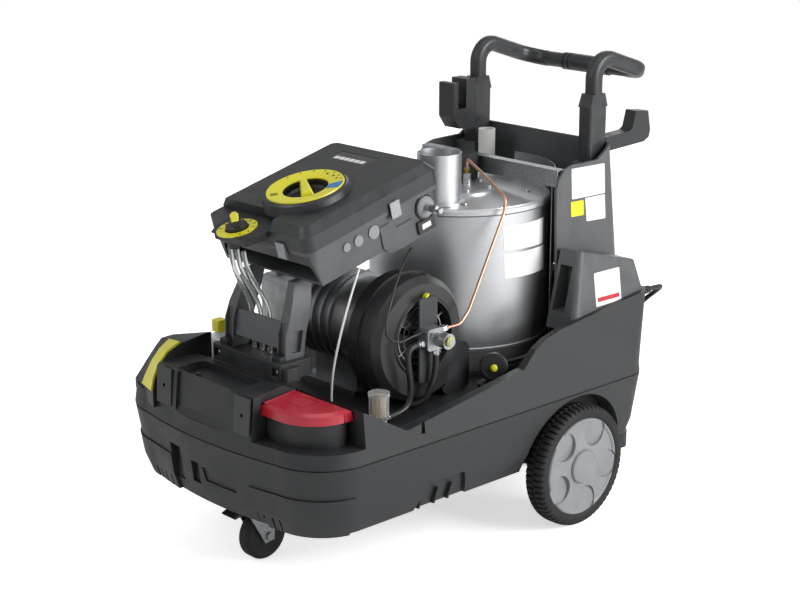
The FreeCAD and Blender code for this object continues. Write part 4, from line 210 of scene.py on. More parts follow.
# Grain that is really 0.1 to 0.3 mm wide is drawn at 0.7 to 1.6 mm, so that it shows in the render.
# Grained ABS of the body: charcoal, matt, with a fine pebble that breaks up the highlights; this copy of the
# plastic is painted lighter than the deck's, as painted light on the high, lit body
LIT_BODY_ABS = Finish("charcoal_abs_moulded_painted_light", Making.MOULDED, "#47494b", "#4f5153", 0.42, 1.1, 0.05)
# Deck and frame moulding: the same plastic from a coarser tool, painted nearly black as painted shade, since
# it lies in the shade of the machine
SHADED_DECK_ABS = Finish("charcoal_abs_coarse_moulded_painted_shade", Making.MOULDED, "#1a1c1e", "#212325", 0.48, 1.4, 0.07)
# Smoother PA cover of the control box: a soft sheen on its crown
COVER_PA = Finish("graphite_polyamide_moulded", Making.MOULDED, "#242628", "#2b2d2f", 0.4, 0.9, 0.03)
# Black PP of the blower: satin, picks up long soft highlights round the volute
BLOWER_PP = Finish("black_polypropylene_moulded", Making.POLISHED, "#1f2022", "#28292b", 0.38, 2, 0.02,
                   ior=1.49)
# Small black mouldings: levers, plug and switch bodies, slightly duller
BLACK_PA = Finish("black_polyamide_moulded", Making.MOULDED, "#151617", "#1d1e20", 0.42, 0.8, 0.03)
# Steel strip with a thin black powder coat: a fine orange-peel keeps its flat face from looking moulded
HINGE_COAT = Finish("steel_strip_powder_coated", Making.CAST, "#242628", "#2c2e30", 0.42, 0.7, 0.02)
# Grey PP plugs: a soft moulded gloss
GREY_PP = Finish("grey_polypropylene_plug_moulded", Making.MOULDED, "#7d7f81", "#86888a", 0.42, 1.0, 0.03)
# Glossy red ABS of the filler cap: deep even colour under a clear highlight
RED_ABS = Finish("red_abs_polished", Making.POLISHED, "#a01226", "#aa1a2e", 0.34, 3, 0.015, ior=1.53,
                 coat=0.25)
# Lemon ABS of flap, pointers and scales: warm, clean, slightly glossy
YELLOW_ABS = Finish("lemon_abs_polished", Making.POLISHED, "#cfc81a", "#d8d122", 0.36, 3, 0.015, ior=1.53,
                    coat=0.15)
# Blow-moulded HDPE: milky white, waxy
WHITE_HDPE = Finish("natural_hdpe_blow_moulded", Making.POLISHED, "#d9dad6", "#cfd1cc", 0.42, 6, 0.05)
# Light grey POM collars and caps: clean and dull
PALE_POM = Finish("pale_pom_turned", Making.POLISHED, "#c9cbcc", "#bfc1c3", 0.36, 2.5)
# Clear PVC: wet highlights, the dark behind shows through
CLEAR_PVC = Finish("clear_pvc_extruded", Making.CLEAR, "#f2f4f4", "#e6eaea", 0.12, 5, 0.01, ior=1.45,
                   clear=0.86)
# Smoked acrylic of the indicator strip: nearly black under a sharp gloss
SMOKED_PMMA = Finish("smoked_acrylic_polished", Making.POLISHED, "#1a1c1e", "#202224", 0.14, 6, 0.005,
                     ior=1.49, coat=0.3)
# Pleated filter paper: warm and fibrous
FILTER_PAPER = Finish("filter_paper_pleated", Making.PAPER, "#c9a96a", "#a98a50", 0.85, 4, 0.4)
# Rolled stainless of the boiler's jacket: soft vertical bands of light, faint brushing round it
DRUM_STEEL = Finish("stainless_sheet_brushed", Making.ROLLED, "#c4c6c8", "#b6b8ba", 0.42, 2.2, 0.02, 1.0)
# Lid and flue: brighter sheet, drawn smooth
LID_STEEL = Finish("stainless_sheet_drawn", Making.ROLLED, "#d2d4d6", "#c2c4c6", 0.4, 3, 0.015, 1.0)
# Galvanised brackets: grey spangles a few millimetres wide
ZINC = Finish("galvanised_steel_spangled", Making.GALVANISED, "#9fa2a5", "#8c8f92", 0.42, 2.6, 0.01, 1.0)
# Zinc-plated screws, pins and clamps: bluish and bright
PLATED = Finish("zinc_plated_steel_turned", Making.DRAWN, "#c3c6c9", "#a6a9ac", 0.28, 1.5, 0.01, 1.0)
# Die-cast aluminium of pump and fuel pump: dull sparkle
CAST_ALU = Finish("aluminium_die_cast", Making.CAST, "#a5a7a9", "#8b8d90", 0.42, 1.6, 0.08, 1.0)
# Drawn pipe of the coil: brownish grey, burnt dull
PIPE_STEEL = Finish("boiler_pipe_drawn", Making.DRAWN, "#5d5955", "#45413d", 0.55, 2, 0.05, 0.9)
# Soft copper pipe: pinkish, streaked along its length
COPPER = Finish("copper_pipe_drawn", Making.DRAWN, "#c99a82", "#bf8f78", 0.34, 9, 0.004, 1.0)
# Turned brass of the nozzle's union: yellow and bright
BRASS = Finish("brass_turned", Making.DRAWN, "#b3924c", "#96793c", 0.28, 2, 0.01, 1.0)
# Tyre rubber: charcoal, dusty and dull
TYRE_RUBBER = Finish("tyre_rubber_vulcanised", Making.RUBBER, "#111213", "#18191a", 0.75, 1.2, 0.08)
# Cable and hose rubber: black, soft sheen along the run
CABLE_RUBBER = Finish("cable_rubber_extruded", Making.RUBBER, "#161718", "#1e1f20", 0.5, 0.9, 0.03)
# Wheel discs: mid grey PP, slightly grained
WHEEL_PP = Finish("grey_polypropylene_moulded", Making.MOULDED, "#797b7e", "#828487", 0.46, 1.0, 0.04)
# Bare stickers and marks: film with a light gloss, the black one duller
WHITE_FILM = Finish("white_film_coated", Making.PRINTED, "#e4e5e4", "#dcdddc", 0.33, 8, 0.005)
YELLOW_FILM = Finish("yellow_film_coated", Making.PRINTED, "#d8cf1c", "#d2c818", 0.33, 8, 0.005)
RED_FILM = Finish("red_film_coated", Making.PRINTED, "#ad1b2b", "#b3202f", 0.33, 8, 0.005)
BLUE_FILM = Finish("blue_film_coated", Making.PRINTED, "#1f74b8", "#1b6cae", 0.33, 8, 0.005)
BLACK_FILM = Finish("black_film_coated", Making.PRINTED, "#121314", "#17181a", 0.4, 8, 0.005)


# Shapes
def polar(radius: float, degrees: float) -> Flat:
    """Flat place at a radius and an angle in degrees."""
    return radius * math.cos(math.radians(degrees)), radius * math.sin(math.radians(degrees))


def arc_points(cx: float, cy: float, r: float, start: float, end: float, steps: int) -> list[Flat]:
    """Points on an arc in a plane, angles in degrees, both ends included."""
    spots = [polar(r, start + (end - start) * k / steps) for k in range(steps + 1)]
    return [(cx + x, cy + y) for x, y in spots]


def rounded_outline(x0: float, x1: float, y0: float, y1: float, r: float) -> list[Flat]:
    """Rectangle with round corners, as an outline that runs anticlockwise."""
    corners = ((x1 - r, y0 + r, -90), (x1 - r, y1 - r, 0), (x0 + r, y1 - r, 90), (x0 + r, y0 + r, 180))
    return [spot for x, y, start in corners for spot in arc_points(x, y, r, start, start + 90, 6)]


def turned_faces(steps: int, count: int) -> list[tuple[int, ...]]:
    """Faces of a closed profile of some points, turned once round in some steps."""
    return [(k * count + j, k * count + (j + 1) % count, (k + 1) % steps * count + (j + 1) % count,
             (k + 1) % steps * count + j) for k in range(steps) for j in range(count)]


def mirror(side: float) -> Matrix:
    """Transform that keeps the right side, or turns it into the left one for -1."""
    return Matrix.Diagonal((side, 1, 1, 1))


def new_object(name: str, data: bpy.types.ID) -> bpy.types.Object:
    """Make an object round its data and link it to the scene.

    Args:
        name: Name of the object.
        data: Mesh, curve, camera or lamp.

    Returns:
        The object, at the origin.
    """
    made = bpy.data.objects.new(name, data)
    bpy.context.scene.collection.objects.link(made)
    return made


@dataclass
class Solid:
    """Closed mesh in millimetres in the shared frame, before it becomes a piece."""

    verts: list[Vector]
    faces: list[tuple[int, ...]]

    @classmethod
    def lofted(cls, rings: Sequence[Sequence[Vector]]) -> "Solid":
        """Skin through rings of equal count, with a face at both ends.

        Args:
            rings: Rings of points, in order along the solid.

        Returns:
            The closed solid.
        """
        count = len(rings[0])
        verts = [Vector(p) for ring in rings for p in ring]
        faces = [(i * count + j, i * count + (j + 1) % count, (i + 1) * count + (j + 1) % count,
                  (i + 1) * count + j) for i in range(len(rings) - 1) for j in range(count)]
        faces.append(tuple(reversed(range(count))))
        faces.append(tuple(range((len(rings) - 1) * count, len(rings) * count)))
        return cls(verts, faces)

    @classmethod
    def prism(cls, axis: str, outline: Sequence[Flat], low: float, high: float) -> "Solid":
        """Outline pushed straight along an axis.

        Args:
            axis: x, y or z; the outline's pairs are the other two coordinates in their order.
            outline: Corner points of the outline.
            low: Start along the axis.
            high: End along the axis.

        Returns:
            The closed solid.
        """
        turn = {"x": lambda a, b, t: Vector((t, a, b)), "y": lambda a, b, t: Vector((a, t, b)),
                "z": lambda a, b, t: Vector((a, b, t))}[axis]
        return cls.lofted([[turn(a, b, t) for a, b in outline] for t in (low, high)])

    @classmethod
    def pad(cls, axis: str, sides: Sequence[float], low: float, high: float) -> "Solid":
        """Prism on a rectangle with round corners, given as its four sides and its corners' radius."""
        return cls.prism(axis, rounded_outline(*sides), low, high)

    @classmethod
    def slab(cls, x0: float, x1: float, y0: float, y1: float, z0: float, z1: float) -> "Solid":
        """Block between six planes; its piece is given rounded edges."""
        return cls.prism("z", [(x0, y0), (x1, y0), (x1, y1), (x0, y1)], z0, z1)

    @classmethod
    def tapered(cls, plan: Sequence[Flat], levels: Sequence[Point], centre: Flat = (0, 0)) -> "Solid":
        """Plan round its own centre, drawn at levels of height, scale across and scale along."""
        return cls.lofted([[Vector((centre[0] + x * a, centre[1] + y * b, z)) for x, y in plan]
                           for z, a, b in levels])

    @classmethod
    def rod(cls, start: Point, end: Point, radii: Sequence[Flat], steps: int = 40) -> "Solid":
        """Round bar whose radius changes along its length.

        Args:
            start: Centre of its first end.
            end: Centre of its other end.
            radii: Pairs of share along the bar and radius.
            steps: Facets round it.

        Returns:
            The closed solid.
        """
        a, b = Vector(start), Vector(end)
        along = (b - a).normalized()
        side = along.orthogonal().normalized()
        other = along.cross(side)
        angles = [2 * math.pi * k / steps for k in range(steps)]
        return cls.lofted([[a.lerp(b, t) + (side * math.cos(w) + other * math.sin(w)) * r for w in angles]
                           for t, r in radii])

    @classmethod
    def bar(cls, start: Point, end: Point, radius: float, steps: int) -> "Solid":
        """Round bar of one radius."""
        return cls.rod(start, end, [(0, radius), (1, radius)], steps)

    @classmethod
    def ring(cls, centre: Point, axis: Point, profile: Sequence[Flat], steps: int = 96) -> "Solid":
        """Closed profile turned once round an axis.

        Args:
            centre: A point on the axis.
            axis: Direction of the axis.
            profile: Pairs of distance along the axis and radius, as a closed outline.
            steps: Facets round it.

        Returns:
            The closed ring.
        """
        along = Vector(axis).normalized()
        side = along.orthogonal().normalized()
        other = along.cross(side)
        verts = []
        for k in range(steps):
            w = 2 * math.pi * k / steps
            out = side * math.cos(w) + other * math.sin(w)
            verts += [Vector(centre) + along * t + out * r for t, r in profile]
        return cls(verts, turned_faces(steps, len(profile)))

    @classmethod
    def joined(cls, shells: Iterable["Solid"]) -> "Solid":
        """Several solids as one mesh of separate shells.

        Args:
            shells: The solids, in order.

        Returns:
            One solid of them all.
        """
        whole = cls([], [])
        for shell in shells:
            base = len(whole.verts)
            whole.verts += shell.verts
            whole.faces += [tuple(i + base for i in face) for face in shell.faces]
        return whole

    def moved(self, matrix: Matrix) -> "Solid":
        """The same solid under a transform."""
        return Solid([matrix @ v for v in self.verts], list(self.faces))

    def to_object(self, name: str) -> bpy.types.Object:
        """Make the Blender object, in metres.

        Args:
            name: Name of the object and its mesh.

        Returns:
            The linked object, at the origin.
        """
        mesh = bpy.data.meshes.new(name)
        mesh.from_pydata([v * MM for v in self.verts], [], self.faces)
        work = bmesh.new()
        work.from_mesh(mesh)
        bmesh.ops.recalc_face_normals(work, faces=work.faces)
        work.to_mesh(mesh)
        work.free()
        return new_object(name, mesh)

    def dress(self, name: str, *how: object, **more: object) -> bpy.types.Object:
        """Make the object and dress it; the rest is what finish_piece takes."""
        return finish_piece(self.to_object(name), *how, **more)


def settle(target: bpy.types.Object) -> bpy.types.Object:
    """Apply an object's modifiers to its mesh.

    Args:
        target: Object with the modifiers.

    Returns:
        The same object.
    """
    graph = bpy.context.evaluated_depsgraph_get()
    graph.update()
    mesh = bpy.data.meshes.new_from_object(target.evaluated_get(graph))
    target.modifiers.clear()
    target.data = mesh
    return target


def combine(target: bpy.types.Object, tools: Iterable[object], how: str = "DIFFERENCE") -> bpy.types.Object:
    """Cut solids out of an object, join them to it, or keep what it shares with them.

    Args:
        target: Object that is worked on.
        tools: Solids or working objects.
        how: DIFFERENCE, UNION or INTERSECT.

    Returns:
        The object with its new mesh.
    """
    helpers = [tool.to_object("tool") if isinstance(tool, Solid) else tool for tool in tools]
    for helper in helpers:
        step = target.modifiers.new("step", "BOOLEAN")
        step.operation = how
        step.solver = "EXACT"
        step.object = helper
    settle(target)
    for helper in helpers:
        bpy.data.objects.remove(helper, do_unlink=True)
    return target


# Edges turn by this much, in degrees, before they are rounded or shaded sharp
ROUND_FROM = 30.0
SHARP_FROM = 32.0
SHARP_BESIDE_ROUNDS = 60.0
# Steps across a rounded edge, and along and round a hose
EDGE_STEPS = 3
RUN_STEPS = 10
ROUND_STEPS = 7


def finish_piece(target: bpy.types.Object, finish: Finish, slot: str, body: str = "chassis",
                 edge_mm: float = 0.0, stands_for: Sequence[str] = (),
                 sharp: float = SHARP_FROM) -> bpy.types.Object:
    """Dress an object and hang it on its body.

    Args:
        target: The object.
        finish: Its finish.
        slot: Material slot in the record; not used.
        body: Body that it rides on.
        edge_mm: Width of its rounded edges, or 0 for none.
        stands_for: CAD nodes that it replaces.
        sharp: Angle from which its edges are shaded sharp, where none are rounded.

    Returns:
        The same object.
    """
    target.data.materials.clear()
    target.data.materials.append(finish.material())
    if target.type == "MESH":
        if edge_mm > 0.0:
            bevel = target.modifiers.new("rounded_edges", "BEVEL")
            bevel.width = edge_mm * MM
            bevel.segments = EDGE_STEPS
            bevel.limit_method = "ANGLE"
            bevel.angle_limit = math.radians(ROUND_FROM)
            bevel.harden_normals = True
            sharp = SHARP_BESIDE_ROUNDS
        for face in target.data.polygons:
            face.use_smooth = True
        target.data.set_sharp_from_angle(angle=math.radians(sharp))
    if stands_for:
        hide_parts(*stands_for)
    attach(target, body)
    log.info("%s in %s on %s", target.name, finish.name, body)
    return target


def hose(name: str, points: Sequence[Point], radius: float, finish: Finish, slot: str,
         stands_for: Sequence[str] = ()) -> bpy.types.Object:
    """Round flexible run on one smooth spline.

    Args:
        name: Name of the piece.
        points: Control points in millimetres.
        radius: Radius in millimetres.
        finish: Its finish.
        slot: Material slot in the record.
        stands_for: CAD nodes that it replaces.

    Returns:
        The curve object.
    """
    data = bpy.data.curves.new(name, "CURVE")
    data.dimensions = "3D"
    run = data.splines.new("NURBS")
    run.points.add(len(points) - 1)
    for spot, place in zip(run.points, points):
        spot.co = (place[0] * MM, place[1] * MM, place[2] * MM, 1)
    run.order_u = 3
    run.use_endpoint_u = True
    data.resolution_u = RUN_STEPS
    data.bevel_depth = radius * MM
    data.bevel_resolution = ROUND_STEPS
    data.use_fill_caps = True
    return finish_piece(new_object(name, data), finish, slot, stands_for=stands_for)


def screws(name: str, seats: Iterable[Point], out: Point, radius: float) -> None:
    """Row of pan-head screws with a driver recess, as one zinc-plated piece.

    Args:
        name: Name of the piece.
        seats: Seat of each screw, in millimetres.
        out: Outward direction of them all.
        radius: Radius of a head.
    """
    sunk = Vector(out) * 0.8
    raised = Vector(out) * (0.62 * radius)
    dish = [(0, radius), (0.55, radius), (0.85, 0.86 * radius), (1, 0.62 * radius), (1, 0.4 * radius),
            (0.6, 0.34 * radius)]
    heads = [Solid.rod(Vector(seat) - sunk, Vector(seat) + raised, dish, 24) for seat in seats]
    Solid.joined(heads).dress(name, PLATED, "zinc_steel")


# Studio
@dataclass(frozen=True)
class Lamp:
    """Soft square lamp, in metres and watts."""

    name: str
    place: Point
    size: float
    power: float

    def build(self, aim: Point) -> None:
        """Hang the lamp and turn it to what it lights.

        Args:
            aim: Point that it faces.
        """
        data = bpy.data.lights.new(self.name, "AREA")
        data.size = self.size
        data.energy = self.power
        turn = (Vector(aim) - Vector(self.place)).to_track_quat("-Z", "Y").to_matrix().to_4x4()
        new_object(self.name, data).matrix_world = Matrix.Translation(self.place) @ turn


@dataclass(frozen=True)
class Studio:
    """Camera at the photograph's angle, pale floor and soft lamps, in metres."""

    place: Point = (2.4528, -2.3322, 1.4058)
    back: Point = (0.70127, -0.65780, 0.27480)
    lens_mm: float = 78.63
    sensor_mm: float = 36.0
    floor: str = "#f4f4f4"
    floor_clouds: str = "#f8f8f8"
    floor_half: float = 9.0
    paper: float = 0.6
    ambient: float = 0.42
    aim: Point = (0, 0, 0.4)
    lamps: tuple[Lamp, ...] = (
        Lamp("key", (-0.8, -3.2, 2.6), 2.4, 40), Lamp("side", (3.6, 1.6, 2), 2.4, 190),
        Lamp("rear", (-1.8, 3.6, 1.7), 2.4, 34), Lamp("top", (0.3, 0, 3.6), 2, 18))

    def build(self) -> None:
        """Make the camera, the floor, the world and the lamps."""
        back = Vector(self.back).normalized()
        right = Vector(Z_AXIS).cross(back).normalized()
        turn = Matrix((right, back.cross(right), back)).transposed().to_4x4()
        data = bpy.data.cameras.new("camera")
        data.lens = self.lens_mm
        data.sensor_width = self.sensor_mm
        camera = new_object("camera", data)
        camera.matrix_world = Matrix.Translation(self.place) @ turn
        bpy.context.scene.camera = camera
        bpy.context.scene.view_settings.view_transform = "Standard"
        self._floor()
        self._world()
        for lamp in self.lamps:
            lamp.build(self.aim)

    def _floor(self) -> None:
        """Lay the pale floor, which keeps the object's shadow."""
        mesh = bpy.data.meshes.new("floor")
        h = self.floor_half
        mesh.from_pydata([(-h, -h, 0), (h, -h, 0), (h, h, 0), (-h, h, 0)], [], [(0, 1, 2, 3)])
        floor = new_object("floor", mesh)
        paint = bpy.data.materials.new("floor_paint_rolled")
        tree = blank_tree(paint)
        place = add_node(tree, "ShaderNodeTexCoord").outputs["Object"]
        cloud = add_node(tree, "ShaderNodeTexNoise", {"Scale": 3}, Vector=place)
        colours = {"data_type": "RGBA", 6: linear(self.floor), 7: linear(self.floor_clouds)}
        tint = add_node(tree, "ShaderNodeMix", colours, _0=cloud.outputs[0])
        shader = add_node(tree, "ShaderNodeBsdfPrincipled", {"Roughness": 0.9, "Specular IOR Level": 0.1},
                          Base_Color=tint.outputs[2])
        ray = add_node(tree, "ShaderNodeLightPath")
        level = add_node(tree, "ShaderNodeMath", {"operation": "MULTIPLY", 1: self.paper},
                         _0=ray.outputs["Is Camera Ray"])
        glow = add_node(tree, "ShaderNodeEmission", {"Color": WHITE}, Strength=level.outputs[0])
        both = add_node(tree, "ShaderNodeAddShader", _0=shader.outputs[0], _1=glow.outputs[0])
        add_node(tree, "ShaderNodeOutputMaterial", Surface=both.outputs[0])
        mesh.materials.append(paint)

    def _world(self) -> None:
        """Give soft light all round, and white to the camera and to what shows through clear parts."""
        world = bpy.data.worlds.new("studio")
        tree = blank_tree(world)
        ray = add_node(tree, "ShaderNodeLightPath")
        first = add_node(tree, "ShaderNodeMath", {"operation": "MAXIMUM"}, _0=ray.outputs["Is Camera Ray"],
                         _1=ray.outputs["Is Transmission Ray"])
        level = add_node(tree, "ShaderNodeMapRange", {"To Min": self.ambient, "To Max": 1.0},
                         Value=first.outputs[0])
        shine = add_node(tree, "ShaderNodeBackground", {"Color": WHITE}, Strength=level.outputs[0])
        add_node(tree, "ShaderNodeOutputWorld", Surface=shine.outputs[0])
        bpy.context.scene.world = world


# Cords and hoses
@dataclass(frozen=True)
class MainsCord:
    """Mains cable with its put-away coil and its plug."""

    radius: float = 5.0
    route: tuple[Point, ...] = (
        (250, 434, 428), (250, 478, 428), (234, 506, 418), (208, 521, 400),
        (180, 518, 376), (160, 503, 344), (150, 488, 302), (143, 479, 254),
        (135, 475, 204), (122, 475, 152), (101, 476, 104), (72, 478, 62),
        (34, 480, 30), (-10, 480, 11), (-60, 480, 5.3), (-112, 480, 5.2))
    coil_x: float = -165.0
    coil_y: float = 410.0
    outer: float = 70.0
    pitch: float = 10.8
    layer_height: float = 10.6
    turns: float = 2.75
    climb_turns: float = 0.5
    layers: int = 4
    floor_lift: float = 0.2
    per_turn: int = 12
    tail: float = 120.0
    tail_rise: tuple[Flat, ...] = ((0.25, 0.08), (0.5, 0.5), (0.75, 0.92), (1, 1))
    plug_radius: float = 19.0
    plug_length: float = 72.0
    pin_offset: float = 9.5
    pin_length: float = 19.0

    def coil_point(self, turn: float) -> Vector:
        """Place on the coil after a number of turns.

        Args:
            turn: Turns from the coil's start.

        Returns:
            The point in millimetres.
        """
        block = self.turns + self.climb_turns
        half = self.climb_turns / 2
        layer = min(max(int((turn + half) // block), 0), self.layers - 1)
        local = turn - layer * block
        travel = min(max(local, -half), self.turns + half)
        r = self.outer - self.pitch * (travel if layer % 2 == 0 else self.turns - travel)
        climb = 0.0
        if local > self.turns and layer < self.layers - 1:
            climb = (local - self.turns) / self.climb_turns
        if local < 0.0 and layer > 0:
            climb = local / self.climb_turns
        a = math.pi / 2 + 2 * math.pi * turn
        z = self.radius + self.floor_lift + self.layer_height * (layer + climb)
        return Vector((self.coil_x + r * math.cos(a), self.coil_y + r * math.sin(a), z))

    def build(self) -> None:
        """Lay the cord and put the plug on its end."""
        end = self.layers * self.turns + (self.layers - 1) * self.climb_turns
        steps = round(end * self.per_turn)
        points = list(self.route) + [tuple(self.coil_point(end * k / steps)) for k in range(steps + 1)]
        last = self.coil_point(end)
        a = math.pi / 2 + 2 * math.pi * end
        way = Vector((-math.sin(a), math.cos(a), 0))
        rise = self.plug_radius + self.floor_lift - last.z
        for share, lift in self.tail_rise:
            points.append(tuple(last + way * (self.tail * share) + Vector((0, 0, rise * lift))))
        cord = hose("mains_cord", points, self.radius, CABLE_RUBBER, "black_rubber",
                    ("mains_cable", "mains_cable_coil"))
        plug, pins = self._plug(Vector(points[-1]), way)
        first = Vector(self.route[0]) * MM

    def _plug(self, start: Vector, way: Vector) -> tuple[bpy.types.Object, bpy.types.Object]:
        """Make the plug's body and its two pins.

        Args:
            start: Where the cord enters the plug, in millimetres.
            way: Direction along the plug.

        Returns:
            The body and the pins.
        """
        r = self.plug_radius
        radii = [(0, 7), (0.03, 8), (0.12, 8.3), (0.13, 7.2), (0.17, 7.2), (0.18, 8.8), (0.24, 9),
                 (0.25, 7.8), (0.29, 7.8), (0.30, 9.6), (0.46, 10.5), (0.55, 14.5), (0.62, r - 1.2),
                 (0.7, r - 0.8), (0.72, r - 2.2), (0.76, r - 2.2), (0.78, r - 0.4), (0.97, r - 0.1),
                 (1, r - 1.2)]
        shape = Solid.rod(start, start + way * self.plug_length, radii, 56)
        body = shape.dress("plug_body", BLACK_PA, "black_plastic", stands_for=("mains_plug",))
        pins = []
        for side in (-self.pin_offset, self.pin_offset):
            foot = start + Vector((-way.y, way.x, 0)) * side
            pins.append(Solid.rod(foot + way * (self.plug_length - 1),
                                  foot + way * (self.plug_length + self.pin_length),
                                  [(0, 2.4), (0.92, 2.4), (0.98, 1.9), (1, 1.2)], 24))
        return body, Solid.joined(pins).dress("plug_pins", PLATED, "zinc_steel")


# Middle of the fuel pump's block, and the y and z of the fan's shaft beside it
FUEL_PUMP: Point = (227, -164, 444)
SHAFT: Flat = (-158, 440)


@dataclass(frozen=True)
class SoftLines:
    """Clear suction hoses, fuel hoses and the two sensor leads."""

    filter_place: Point = (228, -298, 322)
    pump_lead: tuple[Point, ...] = (
        (126, -120, 590), (178, -190, 588), (220, -262, 530), (228, -286, 476),
        (228, -250, 450), (227, -208, 459), (227, -186.5, 459))
    switch_lead: tuple[Point, ...] = (
        (217.5, 12.6, 350), (206, 26, 346), (214, 54, 345), (232, 92, 352),
        (242, 134, 370), (245, 163, 388))

    def build(self) -> None:
        """Lay all the soft lines between their fittings."""
        for k in range(3):
            top = (-48 + 17 * k, -417 + 2 * k, 612 - 1.5 * k)
            x = -40 + 24 * k
            points = [top, (top[0] + 1, -414 + 3 * k, 572), (x - 3, -375 + 3 * k, 500),
                      (x, -373, 452), (x, -372, 411.3)]
            hose("suction_hose_%d" % (k + 1), points, 4.5, CLEAR_PVC, "clear_plastic",
                 ("dosing_hoses",) if k == 0 else ())
        x, y, z = FUEL_PUMP
        fx, fy, fz = self.filter_place
        supply = [(x, y - 36.3, z - 6), (x, y - 62, z - 6), (x - 1, y - 58, z - 46),
                  (x - 2, y - 50, z - 84), (x - 1, fy + 78, fz + 4), (fx, fy + 50, fz - 6),
                  (fx, fy + 26.3, fz - 6)]
        back = [(x, y + 12, z - 34.3), (x, y + 12, z - 64), (x - 2, y + 2, z - 98),
                (x - 8, y - 14, 314), (x - 30, y - 30, 312.4)]
        for name, route, radius, stands_for in (
                ("fuel_supply_hose", supply, 6, ("fuel_hoses",)), ("fuel_return_hose", back, 6, ()),
                ("fuel_pump_lead", self.pump_lead, 2.5, ("sensor_cables",)),
                ("flow_switch_lead", self.switch_lead, 4, ())):
            hose(name, route, radius, CABLE_RUBBER, "black_rubber", stands_for)


# Carried-over CAD pieces
@dataclass(frozen=True)
class CadPieces:
    """Finish of each node of the CAD frame."""

    finishes: tuple[tuple[Finish, str], ...] = (
        # The body's copy of the charcoal plastic is painted lighter and the deck's copy darker: painted light
        # and painted shade
        (LIT_BODY_ABS, "side_pods rear_housing control_box_base"),
        (SHADED_DECK_ABS, "lower_chassis upper_deck control_bracket handle_hooks strain_relief dosing_plate"),
        (COVER_PA, "control_box_cover handle selector_knob dosing_knob"),
        (BLOWER_PP, "blower_scroll blower_impeller"),
        (BLACK_PA, "flow_switch ignition_transformer brake_lever mains_plug"),
        (HINGE_COAT, "hinge_plates pump_plate"),
        (GREY_PP, "box_side_fittings"),
        (RED_ABS, "fuel_cap"),
        (YELLOW_ABS, "detergent_flap dial_scales"),
        (WHITE_HDPE, "fuel_tank detergent_tank softener_bottle float_tank"),
        (PALE_POM, "water_fittings"),
        (CLEAR_PVC, "filter_bowl dosing_hoses"),
        (SMOKED_PMMA, "clear_windows"),
        (FILTER_PAPER, "filter_element"),
        (DRUM_STEEL, "boiler_drum"),
        (LID_STEEL, "boiler_lid burner_flange flue_pipe"),
        (PIPE_STEEL, "heating_coil"),
        (ZINC, "caster_fork caster_plate blower_grille heat_shield cover_clips"),
        (PLATED, "rear_axle pressure_spindle burner_nozzle"),
        (CAST_ALU, "fuel_pump high_pressure_pump main_motor"),
        (COPPER, "copper_fuel_line"),
        (CABLE_RUBBER, "fuel_hoses sensor_cables mains_cable mains_cable_coil"),
        (TYRE_RUBBER, "tyre_right tyre_left caster_wheel"),
        (WHEEL_PP, "rim_right rim_left"))

    def build(self) -> None:
        """Give every node its finish."""
        for finish, names in self.finishes:
            for name in names.split():
                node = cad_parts[name]
                if not node.material_slots:
                    node.data.materials.append(finish.material())
                for holder in node.material_slots:
                    holder.material = finish.material()
                log.info("%s in %s", name, finish.name)


